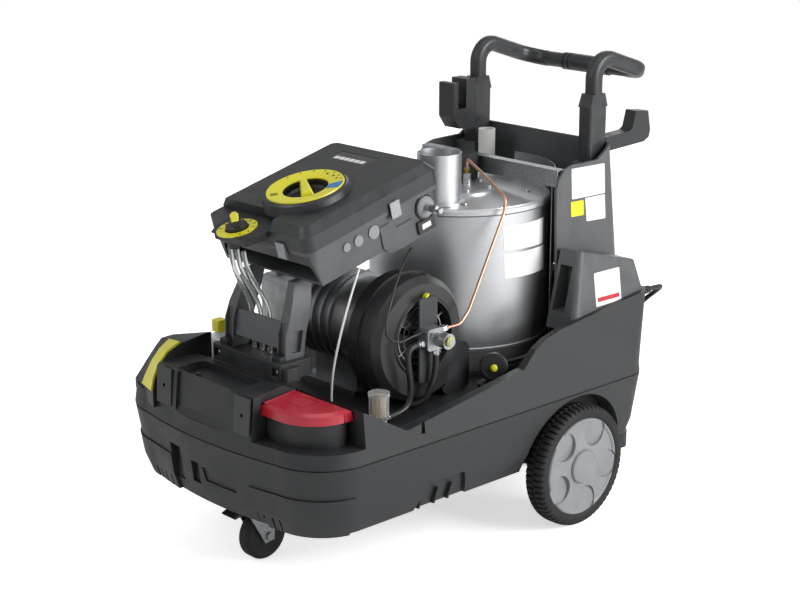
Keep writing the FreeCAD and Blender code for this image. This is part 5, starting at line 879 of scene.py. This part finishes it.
# Wheels
@dataclass(frozen=True)
class RoadWheel:
    """Rubber-tyred disc wheel on one end of the axle."""

    side: float
    face_x: float = 320.0
    width: float = 48.0
    radius: float = 125.0
    rim: float = 100.0
    axle_y: float = 171.0
    lugs: int = 60
    lug_steps: int = 8
    lug_foot: float = 115.0
    lug_depth: float = 4.0
    lug_lean: float = 0.9
    rib_foot: float = 103.0
    rib_top: float = 113.0
    rib_depth: float = 0.55
    scoops: int = 5
    first_scoop: float = 134.5
    scoop_radius: float = 29.0
    scoop_centre: float = 74.0
    scoop_depth: float = 6.2
    scoop_lean: float = 6.5

    def build(self) -> None:
        """Make the tyre and the disc."""
        word = "right" if self.side > 0 else "left"
        flip = mirror(self.side)
        tyre = self._tyre().moved(flip).to_object("tread_tyre_" + word)
        finish_piece(tyre, TYRE_RUBBER, "tyre_rubber", "wheel_" + word, stands_for=("tyre_" + word,),
                     sharp=38)
        disc = self._disc().moved(flip).to_object("wheel_disc_" + word)
        combine(disc, [scoop.moved(flip) for scoop in self._scoops()])
        finish_piece(disc, WHEEL_PP, "wheel_plastic", "wheel_" + word, 0.7, stands_for=("rim_" + word,))

    def _tyre(self) -> Solid:
        """Tyre with staggered lugs on its shoulders and fine ribs on its walls.

        Returns:
            The tyre's solid.
        """
        half = self.width / 2
        mid = self.face_x - half
        wall = [(half - 3, 100), (half - 0.7, 103.5), (half, 107), (half, 112), (half - 0.6, 115.5),
                (half - 1.6, 118.5), (half - 4, 121.5), (half - 7.5, 123.6), (half - 12, 124.6),
                (2.6, 125), (1.8, 122)]
        profile = wall + [(-x, r) for x, r in reversed(wall)]
        steps = self.lugs * self.lug_steps
        verts = []
        for k in range(steps):
            a = 2 * math.pi * k / steps
            for t, r in profile:
                phase = (k + (self.lug_steps // 2 if t < 0.0 else 0)) % self.lug_steps
                x = t
                if r > self.lug_foot + 2 and phase < 2 and abs(t) > 2.2:
                    r -= self.lug_depth * min((r - self.lug_foot) / 8, 1)
                    if r > self.rib_top and abs(t) > half - 8:
                        x -= math.copysign(self.lug_lean, t)
                if self.rib_foot < r < self.rib_top and k % 4 < 2:
                    x -= math.copysign(self.rib_depth, t)
                verts.append(Vector((mid + x, self.axle_y + r * math.cos(a), self.radius + r * math.sin(a))))
        return Solid(verts, turned_faces(steps, len(profile)))

    def _disc(self) -> Solid:
        """Disc with its rolled edge and domed hub cap, before the scoops are cut.

        Returns:
            The disc's solid.
        """
        x1, x0 = self.face_x, self.face_x - self.width
        profile = [(x0 + 3, 94), (x0 + 3, self.rim - 0.3), (x1 - 3, self.rim - 0.3), (x1 - 0.6, 98),
                   (x1, 95.5), (x1 - 0.8, 93), (x1 - 3, 91), (x1 - 3.3, 86), (x1 - 2, 46),
                   (x1 - 1.2, 37), (x1 - 2.2, 35), (x1 - 2.2, 33.8), (x1 + 1.5, 33.2), (x1 + 3.4, 31.6),
                   (x1 + 4.5, 27), (x1 + 5, 14), (x1 + 5, 0.05), (x1 - 4, 0.05), (x1 - 4, 10.1),
                   (x0 - 6, 10.1), (x0 - 6, 22), (x1 - 14, 26), (x1 - 12.5, 88)]
        return Solid.ring((0, self.axle_y, self.radius), X_AXIS, profile, 128)

    def _scoops(self) -> list[Solid]:
        """Tilted round cutters, deepest beside the hub cap.

        Returns:
            One cutter for each scoop.
        """
        cutters = []
        lean = math.radians(self.scoop_lean)
        for k in range(self.scoops):
            a = math.radians(self.first_scoop + 360 * k / self.scoops)
            hub = Vector((0, -math.cos(a), -math.sin(a)))
            way = Vector((math.cos(lean), 0, 0)) + hub * math.sin(lean)
            middle = Vector((self.face_x - self.scoop_depth, self.axle_y, self.radius))
            seat = middle - hub * self.scoop_centre
            cutters.append(Solid.bar(seat, seat + way * 30, self.scoop_radius, 96))
        return cutters


# Lower chassis
@dataclass(frozen=True)
class LowerChassis:
    """Moulded tray below the deck with its stepped front and the side recesses."""

    half: float = 307.0
    front: float = -537.5
    rear: float = 385.0
    bulge: float = 19.0
    corner: float = 112.0
    rear_corner: float = 48.0
    bottom: float = 142.0
    top: float = 279.0
    taper: float = 27.0
    axle_y: float = 171.0
    wheel_r: float = 125.0
    arch_r: float = 146.0
    arch_x: float = 256.0
    gap: float = 3.2
    blocks: tuple[tuple[Flat, ...], ...] = (
        ((-320, 216), (-109, 216), (-109, 139), (-320, 139)),
        ((124, 217), (320, 217), (320, 139), (156, 139)))
    recess: tuple[Flat, ...] = (
        (-106, 240), (101, 242), (120, 217), (142, 172), (152, 139), (-106, 139))
    panel: tuple[Flat, ...] = ((-12, 217), (76, 217), (84, 190), (-4, 190))
    slit_places: tuple[float, ...] = (187, 170, 150, 128)
    side_recess: tuple[Flat, ...] = ((-262, 139), (-232, 192), (-141, 192), (-125, 139))
    rib_places: tuple[float, ...] = (-246, -207, -171)

    def outline(self, inset: float, z: float) -> list[Vector]:
        """Plan of the body at a height.

        Args:
            inset: How far the outline is drawn in.
            z: Height of the ring.

        Returns:
            The ring's points, anticlockwise from the front left.
        """
        half, front, rear = self.half - inset, self.front + inset, self.rear - inset
        rf, rr = self.corner - 0.5 * inset, max(self.rear_corner - inset, 6)
        side = front + self.bulge
        w = half - rf
        big = (w * w + self.bulge ** 2) / (2 * self.bulge)
        swing = math.degrees(math.asin(w / big))
        ring = arc_points(0, front + big, big, -90 - swing, -90 + swing, 22)[:-1]
        ring += arc_points(w, side + rf, rf, -90, 0, 16)
        ring += arc_points(half - rr, rear - rr, rr, 0, 90, 8)
        ring += arc_points(rr - half, rear - rr, rr, 90, 180, 8)
        ring += arc_points(-w, side + rf, rf, 180, 270, 16)[:-1]
        return [Vector((x, y, z)) for x, y in ring]

    def skin(self, depth: float) -> Solid:
        """The body itself, or a solid that follows its surface and is a little longer.

        Args:
            depth: Distance inside the surface; 0 for the body, negative stands outside it.

        Returns:
            The lofted solid.
        """
        low, high = (self.bottom, self.top) if depth == 0 else (self.bottom - 2, self.top + 3)
        rings = [self.outline(self.taper + depth, low),
                 self.outline(0.55 * self.taper + depth, self.bottom + 34)]
        if depth == 0:
            rings += [self.outline(0.4, high - self.gap), self.outline(2.4, high - self.gap + 0.4),
                      self.outline(2.2, high)]
        else:
            rings.append(self.outline(depth, high))
        return Solid.lofted(rings)

    def build(self) -> None:
        """Make the tray with everything that is moulded into it."""
        body = self.skin(0).to_object("chassis_tray")
        apron = Solid.pad("z", (-276, 276, 330, self.rear - 14, 20), 108, self.bottom + 1)
        blocks = [combine(self.skin(-3).to_object("block"), [Solid.prism("y", region, -570, -418)],
                          "INTERSECT") for region in self.blocks]
        bearings = [Solid.slab(s * 205, s * 240, self.axle_y - 22, self.axle_y + 22, 107, 146)
                    for s in SIDES]
        combine(body, [apron] + blocks + bearings, "UNION")
        arches = [Solid.bar((s * self.arch_x, self.axle_y, self.wheel_r),
                            (s * 330, self.axle_y, self.wheel_r), self.arch_r, 96) for s in SIDES]
        bay = Solid.pad("z", (-150, 150, -478, -332, 30), self.bottom - 3, self.bottom + 6)
        slots = [Solid.slab(-109, -80, -560, -508, 168, 240), Solid.slab(-46, -22, -560, -512, 178, 221)]
        recess = self._sunk(3, [Solid.prism("y", self.recess, -570, -470)])
        panel = self._sunk(6.5, [Solid.prism("y", self.panel, -570, -470)])
        slits = self._sunk(4, [Solid.slab(s * x - 2.2, s * x + 2.2, -560, -420, 138, 165)
                               for x in self.slit_places for s in SIDES])
        sides = [self._side_recess(s) for s in SIDES]
        combine(body, arches + [bay] + slots + [recess, panel, slits] + sides)
        finish_piece(body, SHADED_DECK_ABS, "housing_plastic", edge_mm=1.1, stands_for=("lower_chassis",))

    def _sunk(self, depth: float, regions: Sequence[Solid]) -> bpy.types.Object:
        """Cutter that sinks the surface by an even depth where the regions reach through it."""
        return combine(Solid.joined(regions).to_object("cutter"), [self.skin(depth)])

    def _side_recess(self, side: float) -> bpy.types.Object:
        """Recess in a side wall with three thin upright ribs left standing.

        Args:
            side: 1 for the right, -1 for the left.

        Returns:
            The cutter as a working object.
        """
        flip = mirror(side)
        ribs = [Solid.slab(230, 340, y - 2, y + 2, 130, 177).moved(flip) for y in self.rib_places]
        cutter = Solid.prism("x", self.side_recess, 240, 330).moved(flip).to_object("cutter")
        return combine(cutter, ribs + [self.skin(8)])


# Control box and its bracket
@dataclass(frozen=True)
class Dial:
    """Middle of a dial on the box's flat face, its scale's radius, and how far its knob is turned."""

    u: float
    v: float
    r: float
    setting: float

    def turn(self) -> Matrix:
        """Transform that puts the knob in place at its setting."""
        return Matrix.Translation((self.u, self.v, 0)) @ Matrix.Rotation(math.radians(self.setting), 4, "Z")


@dataclass(frozen=True)
class ControlBox:
    """Dials, knobs, marks and small fittings of the tilted control box."""

    x: float = -5.0
    front_y: float = -399.0
    front_z: float = 662.0
    tilt: float = 14.7
    half_w: float = 146.0
    wall: float = 5.0
    selector: Dial = Dial(17.5, 124, 75, -125)
    dosing: Dial = Dial(-27, -16, 39, 55)
    scale_rise: float = 21.6
    scale_slope: float = 4 / 35
    scale_width: float = 31.0
    film: tuple[float, float] = (-0.3, 0.35)

    def place(self) -> Matrix:
        """Transform from the box's flat frame to the shared frame."""
        return (Matrix.Translation((self.x, self.front_y, self.front_z))
                @ Matrix.Rotation(math.radians(self.tilt), 4, "X"))

    def add(self, solid: Solid, name: str, finish: Finish, slot: str, body: str = "chassis",
            edge: float = 0.0, stands_for: Sequence[str] = ()) -> None:
        """Put a solid from the flat frame in place and dress it."""
        solid.moved(self.place()).dress(name, finish, slot, body, edge, stands_for)

    def build(self) -> None:
        """Make all the fittings."""
        self._selector()
        self._dosing()
        self._marks()
        self._windows()
        collar = Solid.ring((self.half_w - self.wall, 294, -70), X_AXIS,
                            [(-0.5, 20.6), (-0.5, 25), (2.6, 24.2), (2.6, 20.6)])
        self.add(collar, "spindle_collar_ring", BLACK_PA, "black_plastic", edge=0.4)

    def _selector(self) -> None:
        """Turning dish with a yellow grip bar."""
        r = self.selector.r
        dish = Solid.ring((0, 0, 0), Z_AXIS, [(-5.7, 0.05), (-5.7, r - 33), (7, r - 33),
                                                    (9, r - 35), (5, r - 41), (4, 0.05)])
        self.add(dish.moved(self.selector.turn()), "selector_dish", BLACK_PA, "cover_plastic",
                 "selector_knob", 0.5, ("selector_knob",))
        reach = r - 37
        plan = [(-9, -reach), (-6, -reach - 2.5), (6, -reach - 2.5), (9, -reach), (14.5, reach - 6),
                (12, reach - 2), (-12, reach - 2), (-14.5, reach - 6)]
        grip = Solid.tapered(plan, [(4, 1, 1), (15, 0.9, 0.97), (23, 0.72, 0.9), (26.5, 0.5, 0.84)])
        self.add(grip.moved(self.selector.turn()), "selector_grip", YELLOW_ABS, "yellow_plastic",
                 "selector_knob", 1.6)

    def _dosing(self) -> None:
        """Small black knob with a yellow pointer."""
        r = self.dosing.r
        skirt = Solid.ring((0, 0, 0), Z_AXIS, [(-9, 0.05), (-9, r - 18), (-1, r - 18.5),
                                                     (1.5, r - 21), (2, 0.05)])
        plan = [(-7, -19), (7, -19), (8.5, 13), (3, 26), (-3, 26), (-8.5, 13)]
        low = Solid.tapered(plan, [(1.5, 1, 1), (12.5, 0.93, 0.93)])
        cap = Solid.tapered(plan, [(12.3, 0.98, 0.98), (15, 0.97, 0.97), (15.9, 0.85, 0.85)])
        self.add(Solid.joined((skirt, low)).moved(self.dosing.turn()), "dosing_skirt", BLACK_PA,
                 "cover_plastic", "dosing_knob", 0.5, ("dosing_knob",))
        self.add(cap.moved(self.dosing.turn()), "dosing_pointer", YELLOW_ABS, "yellow_plastic",
                 "dosing_knob", 0.5)

    def _patch(self, inner: float, outer: float, start: float, end: float, steps: int = 1) -> Solid:
        """Thin sector that follows the cone of the selector's scale.

        Args:
            inner: Its inner edge, from the scale's rim inwards.
            outer: Its outer edge, from the scale's rim inwards.
            start: Angle of one side in degrees.
            end: Angle of the other side.
            steps: Steps along its arcs.

        Returns:
            The closed sector.
        """
        u, v, r = self.selector.u, self.selector.v, self.selector.r
        ring = (arc_points(u, v, r - inner, start, end, steps)
                + arc_points(u, v, r - outer, end, start, steps))
        rise = [(math.hypot(x - u, y - v) - r + self.scale_width) * self.scale_slope for x, y in ring]
        return Solid.lofted([[Vector((x, y, self.scale_rise + d + t)) for (x, y), d in zip(ring, rise)]
                             for t in self.film])

    def _marks(self) -> None:
        """Black ticks and a blue sector on the selector's scale, and ticks on the dosing scale."""
        self.add(self._patch(30, 2, 17, 41, 10), "scale_sector", BLUE_FILM, "white_plastic")
        ticks = [self._patch(9, 3.5, a - 0.7, a + 0.7) for a in (52, 68, 84, 104, 124, 146, 168)]
        ticks += [self._patch(16, 11.5, a - 2.2, a + 2.2, 2) for a in (60, 76, 94)]
        ticks += [self._patch(22, 8, a - 1, a + 1) for a in (-118, -122, -126)]
        self.add(Solid.joined(ticks), "scale_ticks", BLACK_FILM, "black_plastic")
        u, v, r = self.dosing.u, self.dosing.v, self.dosing.r
        small = [Solid.prism("z", arc_points(u, v, r - 8, a - 2, a + 2, 1)
                             + arc_points(u, v, r - 2.5, a + 2, a - 2, 1), -7.8, -7.35)
                 for a in range(-30, 211, 30)]
        self.add(Solid.joined(small), "dosing_ticks", BLACK_FILM, "black_plastic")

    def _windows(self) -> None:
        """Indicator strip on the cover, and the hour counter on the side."""
        strip = Solid.pad("z", (-79.5, 23.5, 266.3, 301.5, 2.5), 5.6, 7.4)
        self.add(strip, "indicator_strip", SMOKED_PMMA, "clear_plastic", edge=0.3,
                 stands_for=("clear_windows",))
        lamps = [Solid.pad("z", (-70 + 14.5 * k, -58.5 + 14.5 * k, 270, 281, 1), 7.2, 7.9)
                 for k in range(6)]
        self.add(Solid.joined(lamps), "indicator_lamps", WHITE_HDPE, "white_plastic")
        w = self.half_w - self.wall
        outer = [Vector((w - 1, y, z)) for y, z in rounded_outline(266.4, 311.6, -117.6, -92.4, 4)]
        surround = Solid.lofted([outer, [p + Vector((5.2, 0, 0)) for p in outer],
                                 [Vector((w + 5.4, p.y * 0.9 + 28.9, p.z * 0.9 - 10.5)) for p in outer]])
        hole = Solid.pad("x", (276, 302, -111, -99, 2), w + 2.5, w + 9)
        body = combine(surround.moved(self.place()).to_object("hour_counter_frame"),
                       [hole.moved(self.place())])
        finish_piece(body, COVER_PA, "cover_plastic", edge_mm=0.5)
        glass = Solid.pad("x", (275.8, 302.2, -111.2, -98.8, 2), w + 2, w + 3.2)
        self.add(glass, "hour_counter_window", WHITE_HDPE, "white_plastic")


@dataclass(frozen=True)
class BoxBracket:
    """Beam across the deck's shelf with two cranked legs that carry the control box."""

    x0: float = -96.0
    x1: float = 106.0
    y0: float = -430.0
    y1: float = -350.0
    z0: float = 387.3
    z1: float = 420.0
    leg_x: float = 78.0
    leg_levels: tuple[tuple[float, ...], ...] = (
        (411, 411, -404, -360, 65, 91), (466, 466, -402, -352, 65, 91),
        (496, 494, -391, -342, 65, 90.5), (526, 524, -379, -333, 62, 84),
        (559.5, 564.5, -368, -324, 58, 75))
    cross_plate: tuple[Flat, ...] = ((-398, 436), (-393, 434), (-384, 484), (-389, 486))
    ledge: tuple[Flat, ...] = ((-389, 480.5), (-381.5, 479), (-381.5, 484), (-389, 486.2))

    def build(self) -> None:
        """Make the beam, its end block, the screws, the legs, the cross plate and the ledge."""
        beam = Solid.pad("z", (self.x0, self.x1, self.y0, self.y1, 6), self.z0, self.z1)
        dish = Solid.pad("z", (self.x0 + 20, self.x1 - 22, self.y0 + 12, self.y1 - 12, 5), self.z1 - 9,
                         self.z1 + 5)
        ends = (self.x0 + 16, self.x1 - 14)
        front = [Solid.slab(x - 9, x + 9, self.y0 - 5, self.y0 + 7, self.z0 + 8, self.z1 - 8)
                 for x in ends]
        finish_piece(combine(beam.to_object("bracket_beam"), [dish] + front), SHADED_DECK_ABS, "housing_plastic",
                     edge_mm=1.6, stands_for=("control_bracket",))
        block = Solid.pad("z", (self.x1 - 3, self.x1 + 11.5, self.y0 + 6, self.y0 + 42, 5), self.z0,
                          self.z1 - 7)
        block.dress("bracket_end_block", SHADED_DECK_ABS, "housing_plastic", edge_mm=1.2)
        screws("bracket_screws", [(x, self.y0 + 6.5, 403.5) for x in ends], (0, -1, 0), 4)
        for side in reversed(SIDES):
            self._leg(side)
        plate = Solid.prism("x", self.cross_plate, -68, 68)
        plate.dress("bracket_cross_plate", LIT_BODY_ABS, "cover_plastic", edge_mm=0.8)
        ledge = Solid.prism("x", self.ledge, -66, 66)
        ledge.dress("bracket_ledge", BLACK_PA, "housing_plastic", edge_mm=0.6)

    def _leg(self, side: float) -> None:
        """Cranked leg that leans back all the way and inwards above its knee.

        Args:
            side: 1 for the right leg, -1 for the left.
        """
        rings = [[Vector((side * xi, yf, zf)), Vector((side * xo, yf, zf)), Vector((side * xo, yr, zr)),
                  Vector((side * xi, yr, zr))] for zf, zr, yf, yr, xi, xo in self.leg_levels]
        word = "right" if side > 0 else "left"
        middle = side * self.leg_x
        channel = Solid.prism("x", [(-412, 424), (-395, 424), (-391, 486), (-412, 488)],
                              middle - 9, middle + 9)
        pocket = Solid.prism("x", [(-386, 430), (-368, 430), (-361, 470), (-381, 470)],
                             side * 82, side * 95)
        leg = combine(Solid.lofted(rings).to_object("bracket_leg_" + word), [channel, pocket])
        finish_piece(leg, LIT_BODY_ABS, "housing_plastic", edge_mm=1.8)
        foot = Solid.pad("z", (middle - 12, middle + 12, self.y0 + 13, self.y0 + 36, 4), self.z1 - 9,
                         self.z1 + 8)
        foot.dress("bracket_foot_" + word, SHADED_DECK_ABS, "housing_plastic", edge_mm=1.2)


# Boiler, rear and stickers
@dataclass(frozen=True)
class Boiler:
    """Small fittings on the boiler's lid, its rim bead and the stickers on its jacket."""

    y: float = 131.5
    radius: float = 184.0
    top: float = 645.0
    bolt_circle: float = 64.0
    bolt_sixths: tuple[int, ...] = (0, 1, 3, 4, 5)
    lid_bosses: tuple[Flat, ...] = (
        (134, 62), (140, 40), (136, 118), (138, 170), (138, 250), (138, 320))
    rim: tuple[Flat, ...] = ((-1.8, -5.2), (-0.2, -7), (1.4, -5.2), (0.8, -2.6), (-0.6, -2.2))
    sticker_steps: int = 16

    def build(self) -> None:
        """Make the lid's fittings and the jacket's stickers."""
        z = self.top + 4
        bolts = [polar(self.bolt_circle, 60 * k + 30) for k in self.bolt_sixths]
        screws("flange_bolts", [(x, self.y + y, z + 7) for x, y in bolts], Z_AXIS, 4.6)
        bosses = [polar(r, a) for r, a in self.lid_bosses]
        screws("lid_screws", [(x, self.y + y, self.top + 1.5) for x, y in bosses], Z_AXIS, 5.2)
        union = Solid.rod((0, 156, z + 20), (0, 156, z + 39),
                          [(0, 6.6), (0.25, 6.6), (0.3, 5.4), (0.7, 5.4), (0.75, 6), (1, 5.6)], 6)
        union.dress("nozzle_union", BRASS, "copper", edge_mm=0.4)
        profile = [(self.top + t, self.radius + r) for t, r in self.rim]
        bead = Solid.ring((0, self.y, 0), Z_AXIS, profile, 160)
        bead.dress("lid_rim_bead", LID_STEEL, "drum_steel")
        self._jacket_sticker("jacket_sticker_upper", [(-16.5, 607), (23.5, 606), (24, 553), (-15.6, 560)])
        self._jacket_sticker("jacket_sticker_lower", [(-15.5, 551.5), (25, 549.5), (26, 498), (-14.8, 501.5)])

    def _jacket_sticker(self, name: str, corners: Sequence[Flat]) -> None:
        """Blank sticker bent round the jacket.

        Args:
            name: Name of the piece.
            corners: Angle in degrees and height of its four corners.
        """
        steps = self.sticker_steps

        def edge(a: Flat, b: Flat) -> list[Flat]:
            """Points from one corner to another."""
            return [(a[0] + (b[0] - a[0]) * k / steps, a[1] + (b[1] - a[1]) * k / steps)
                    for k in range(steps + 1)]
        ring = edge(corners[0], corners[1]) + edge(corners[3], corners[2])[::-1]
        count = len(ring)
        verts = []
        for depth in (2.3, 1.5):
            places = [(polar(self.radius - depth, a), z) for a, z in ring]
            verts += [Vector((x, self.y + y, z)) for (x, y), z in places]
        faces = [(k, k + 1, count + k + 1, count + k) for k in range(count - 1)]
        faces.append((count - 1, 0, count, 2 * count - 1))
        for k in range(steps):
            a, b, c, d = k, k + 1, count - 2 - k, count - 1 - k
            faces += [(a, b, c, d), (count + d, count + c, count + b, count + a)]
        Solid(verts, faces).dress(name, WHITE_FILM, "white_plastic", sharp=50)


@dataclass(frozen=True)
class SmallParts:
    """Coloured caps, nuts, ties and clamps round the blower and the pump set."""

    bottle: Flat = (-236, -305)
    bottle_top: float = 409.8
    seam_x: float = 156.0
    clamp_angles: tuple[float, ...] = (28, 66, 108, 152, 205)
    clamp_circle: float = 108.0
    switch: Point = (217.5, 12, 350)
    switch_way: Point = (0.72, -0.66, 0.15)
    drain: tuple[Point, ...] = (
        (136, -262, 578), (148, -296, 530), (144, -318, 460), (128, -322, 390),
        (118, -318, 340), (116, -316, 305.6))

    def build(self) -> None:
        """Make the caps, the nuts, the clamps, the ties and the drain tube."""
        levels = [(385.4, 1, 1), (self.bottle_top - 2, 1, 1), (self.bottle_top, 0.9, 0.9)]
        cap = Solid.tapered(rounded_outline(-11.7, 11.7, -11.7, 11.7, 3), levels, self.bottle)
        cap.dress("bottle_cap", YELLOW_ABS, "yellow_plastic", edge_mm=0.6)
        self._pump_fittings()
        self._clamps()
        self._switch_cap()
        hose("drain_tube", self.drain, 2.2, WHITE_HDPE, "white_plastic")

    def _pump_fittings(self) -> None:
        """Nuts on the fuel pump's ports, and the yellow seals on its coil and its plate."""
        x, y, z = FUEL_PUMP
        nuts = [Solid.bar((x, y + 25, z + 12), (x, y + 34, z + 12), 8.2, 6),
                Solid.rod((x, y + 34, z + 12), (x, y + 41, z + 12), [(0, 6.4), (1, 5.4)], 24),
                Solid.bar((x, y - 31, z - 6), (x, y - 24, z - 6), 9, 6),
                Solid.bar((x, y + 12, z - 31), (x, y + 12, z - 25), 9.4, 6),
                Solid.bar((x + 12, y - 12, z + 12), (x + 19, y - 12, z + 12), 5.2, 6)]
        Solid.joined(nuts).dress("fuel_pump_nuts", PLATED, "zinc_steel", edge_mm=0.4)
        seal = Solid.ring((x + 44, y + 8, z), X_AXIS, [(-2, 7.6), (-2, 9.4), (1.2, 9.4), (1.8, 7.6)], 48)
        base = Vector((0, SHAFT[0], 514))
        plan = [Vector(p) for p in ((203.5, 0, 0), (213, 0, 0), (213, 8, 3), (203.5, 8, 3))]
        flag = Solid.lofted([[base + p + Vector((0, a, b)) for p in plan] for a, b in ((-8, 4), (-5, 9))])
        Solid.joined((seal, flag)).dress("fuel_pump_seals", YELLOW_ABS, "yellow_plastic", edge_mm=0.4)

    def _clamps(self) -> None:
        """Clamp tabs with screws across the seam of the blower's two halves."""
        tabs, seats = [], []
        half_length = Vector((8, 0, 0))
        for a in self.clamp_angles:
            c, s = polar(1, a)
            out, along = Vector((0, c, s)), Vector((0, -s, c))
            base = Vector((self.seam_x, *SHAFT)) + out * self.clamp_circle
            ring = [base + along * u + out * w for u, w in ((-9, -6), (9, -6), (7, 6.5), (-7, 6.5))]
            tabs.append(Solid.lofted([[p - half_length for p in ring], [p + half_length for p in ring]]))
            seats.append(base + out * 1.5 + half_length)
        Solid.joined(tabs).dress("blower_clamp_tabs", BLOWER_PP, "black_plastic", edge_mm=1)
        screws("blower_clamp_screws", seats, X_AXIS, 3.2)

    def _switch_cap(self) -> None:
        """Yellow cap and dark rings of the flow switch, and ties on its lead."""
        way = Vector(self.switch_way).normalized()
        face = Vector(self.switch) + way * 34
        cap = Solid.rod(face - way, face + way * 9, [(0, 7), (0.55, 7), (0.6, 4.6), (1, 4)], 32)
        cap.dress("flow_switch_cap", YELLOW_ABS, "yellow_plastic", edge_mm=0.4)
        rings = [Solid.ring(face - way * 3, way, [(-2, 25.4), (-2, 28), (1.5, 28), (3.6, 24), (3.6, 20),
                                                  (2.6, 19)], 72)]
        rings += [Solid.ring(middle, along, [(-1.6, 3.6), (-1.6, 5.2), (1.6, 5.2), (1.6, 3.6)], 24)
                  for middle, along in (((208, 40, 345.2), (0.3, 0.95, 0)),
                                        ((232, 92, 352), (0.3, 0.9, 0.25)))]
        Solid.joined(rings).dress("flow_switch_rings", BLACK_PA, "black_plastic", edge_mm=0.3)


@dataclass(frozen=True)
class Sticker:
    """Bare sticker with round corners on a flat face that looks to the right."""

    name: str
    film: Finish
    corners: tuple[Point, ...]
    lift: float = 0.35
    corner_mm: float = 2.0

    def build(self) -> None:
        """Make the film, a little sunk into the face."""
        a, b, c, d = (Vector(p) for p in self.corners)
        out = (b - a).cross(d - a).normalized()
        if out.x < 0.0:
            out = -out
        ring = []
        for p, before, after in ((a, d, b), (b, a, c), (c, b, d), (d, c, a)):
            u = (before - p).normalized() * self.corner_mm
            w = (after - p).normalized() * self.corner_mm
            ring += [p + u, p + (u + w) * 0.29, p + w]
        film = Solid.lofted([[p - out * 0.1 for p in ring], [p + out * self.lift for p in ring]])
        film.dress(self.name, self.film, "white_plastic")


@dataclass(frozen=True)
class RearEnd:
    """Stickers of the rear housing and the right side pod."""

    stickers: tuple[Sticker, ...] = (
        Sticker("housing_sticker_white", WHITE_FILM,
                ((199.2, 249, 702), (199.3, 349, 700), (201.3, 351, 638.5), (201.3, 250.5, 640))),
        Sticker("housing_sticker_yellow", YELLOW_FILM,
                ((201.4, 247, 635.2), (201.5, 285.5, 634.2), (202.5, 286.5, 603), (202.5, 247.8, 604.5))),
        Sticker("housing_sticker_small", WHITE_FILM,
                ((201.4, 290, 637), (201.4, 350.5, 636), (203, 353, 586), (203, 295, 588.5))),
        Sticker("pod_sticker_white", WHITE_FILM,
                ((270, 243.5, 502), (270, 321, 501.5), (280.7, 319, 435.5), (280.7, 242, 434.8))),
        Sticker("pod_sticker_band", RED_FILM,
                ((277.9, 248, 452), (277.9, 314, 451.5), (279.3, 314, 443), (279.3, 248, 443.3)),
                0.6, 0.5))

    def build(self) -> None:
        """Put every sticker on."""
        for film in self.stickers:
            film.build()


def main() -> None:
    """Build the studio, the cords and every dressed sub-assembly in order."""
    for part in (Studio(), MainsCord(), SoftLines(), CadPieces(), RoadWheel(1), RoadWheel(-1),
                 LowerChassis(), ControlBox(), BoxBracket(), Boiler(), SmallParts(), RearEnd()):
        part.build()
        log.info("%s built", type(part).__name__)


if __name__ == "__main__":
    logging.basicConfig(level=logging.INFO)
    main()
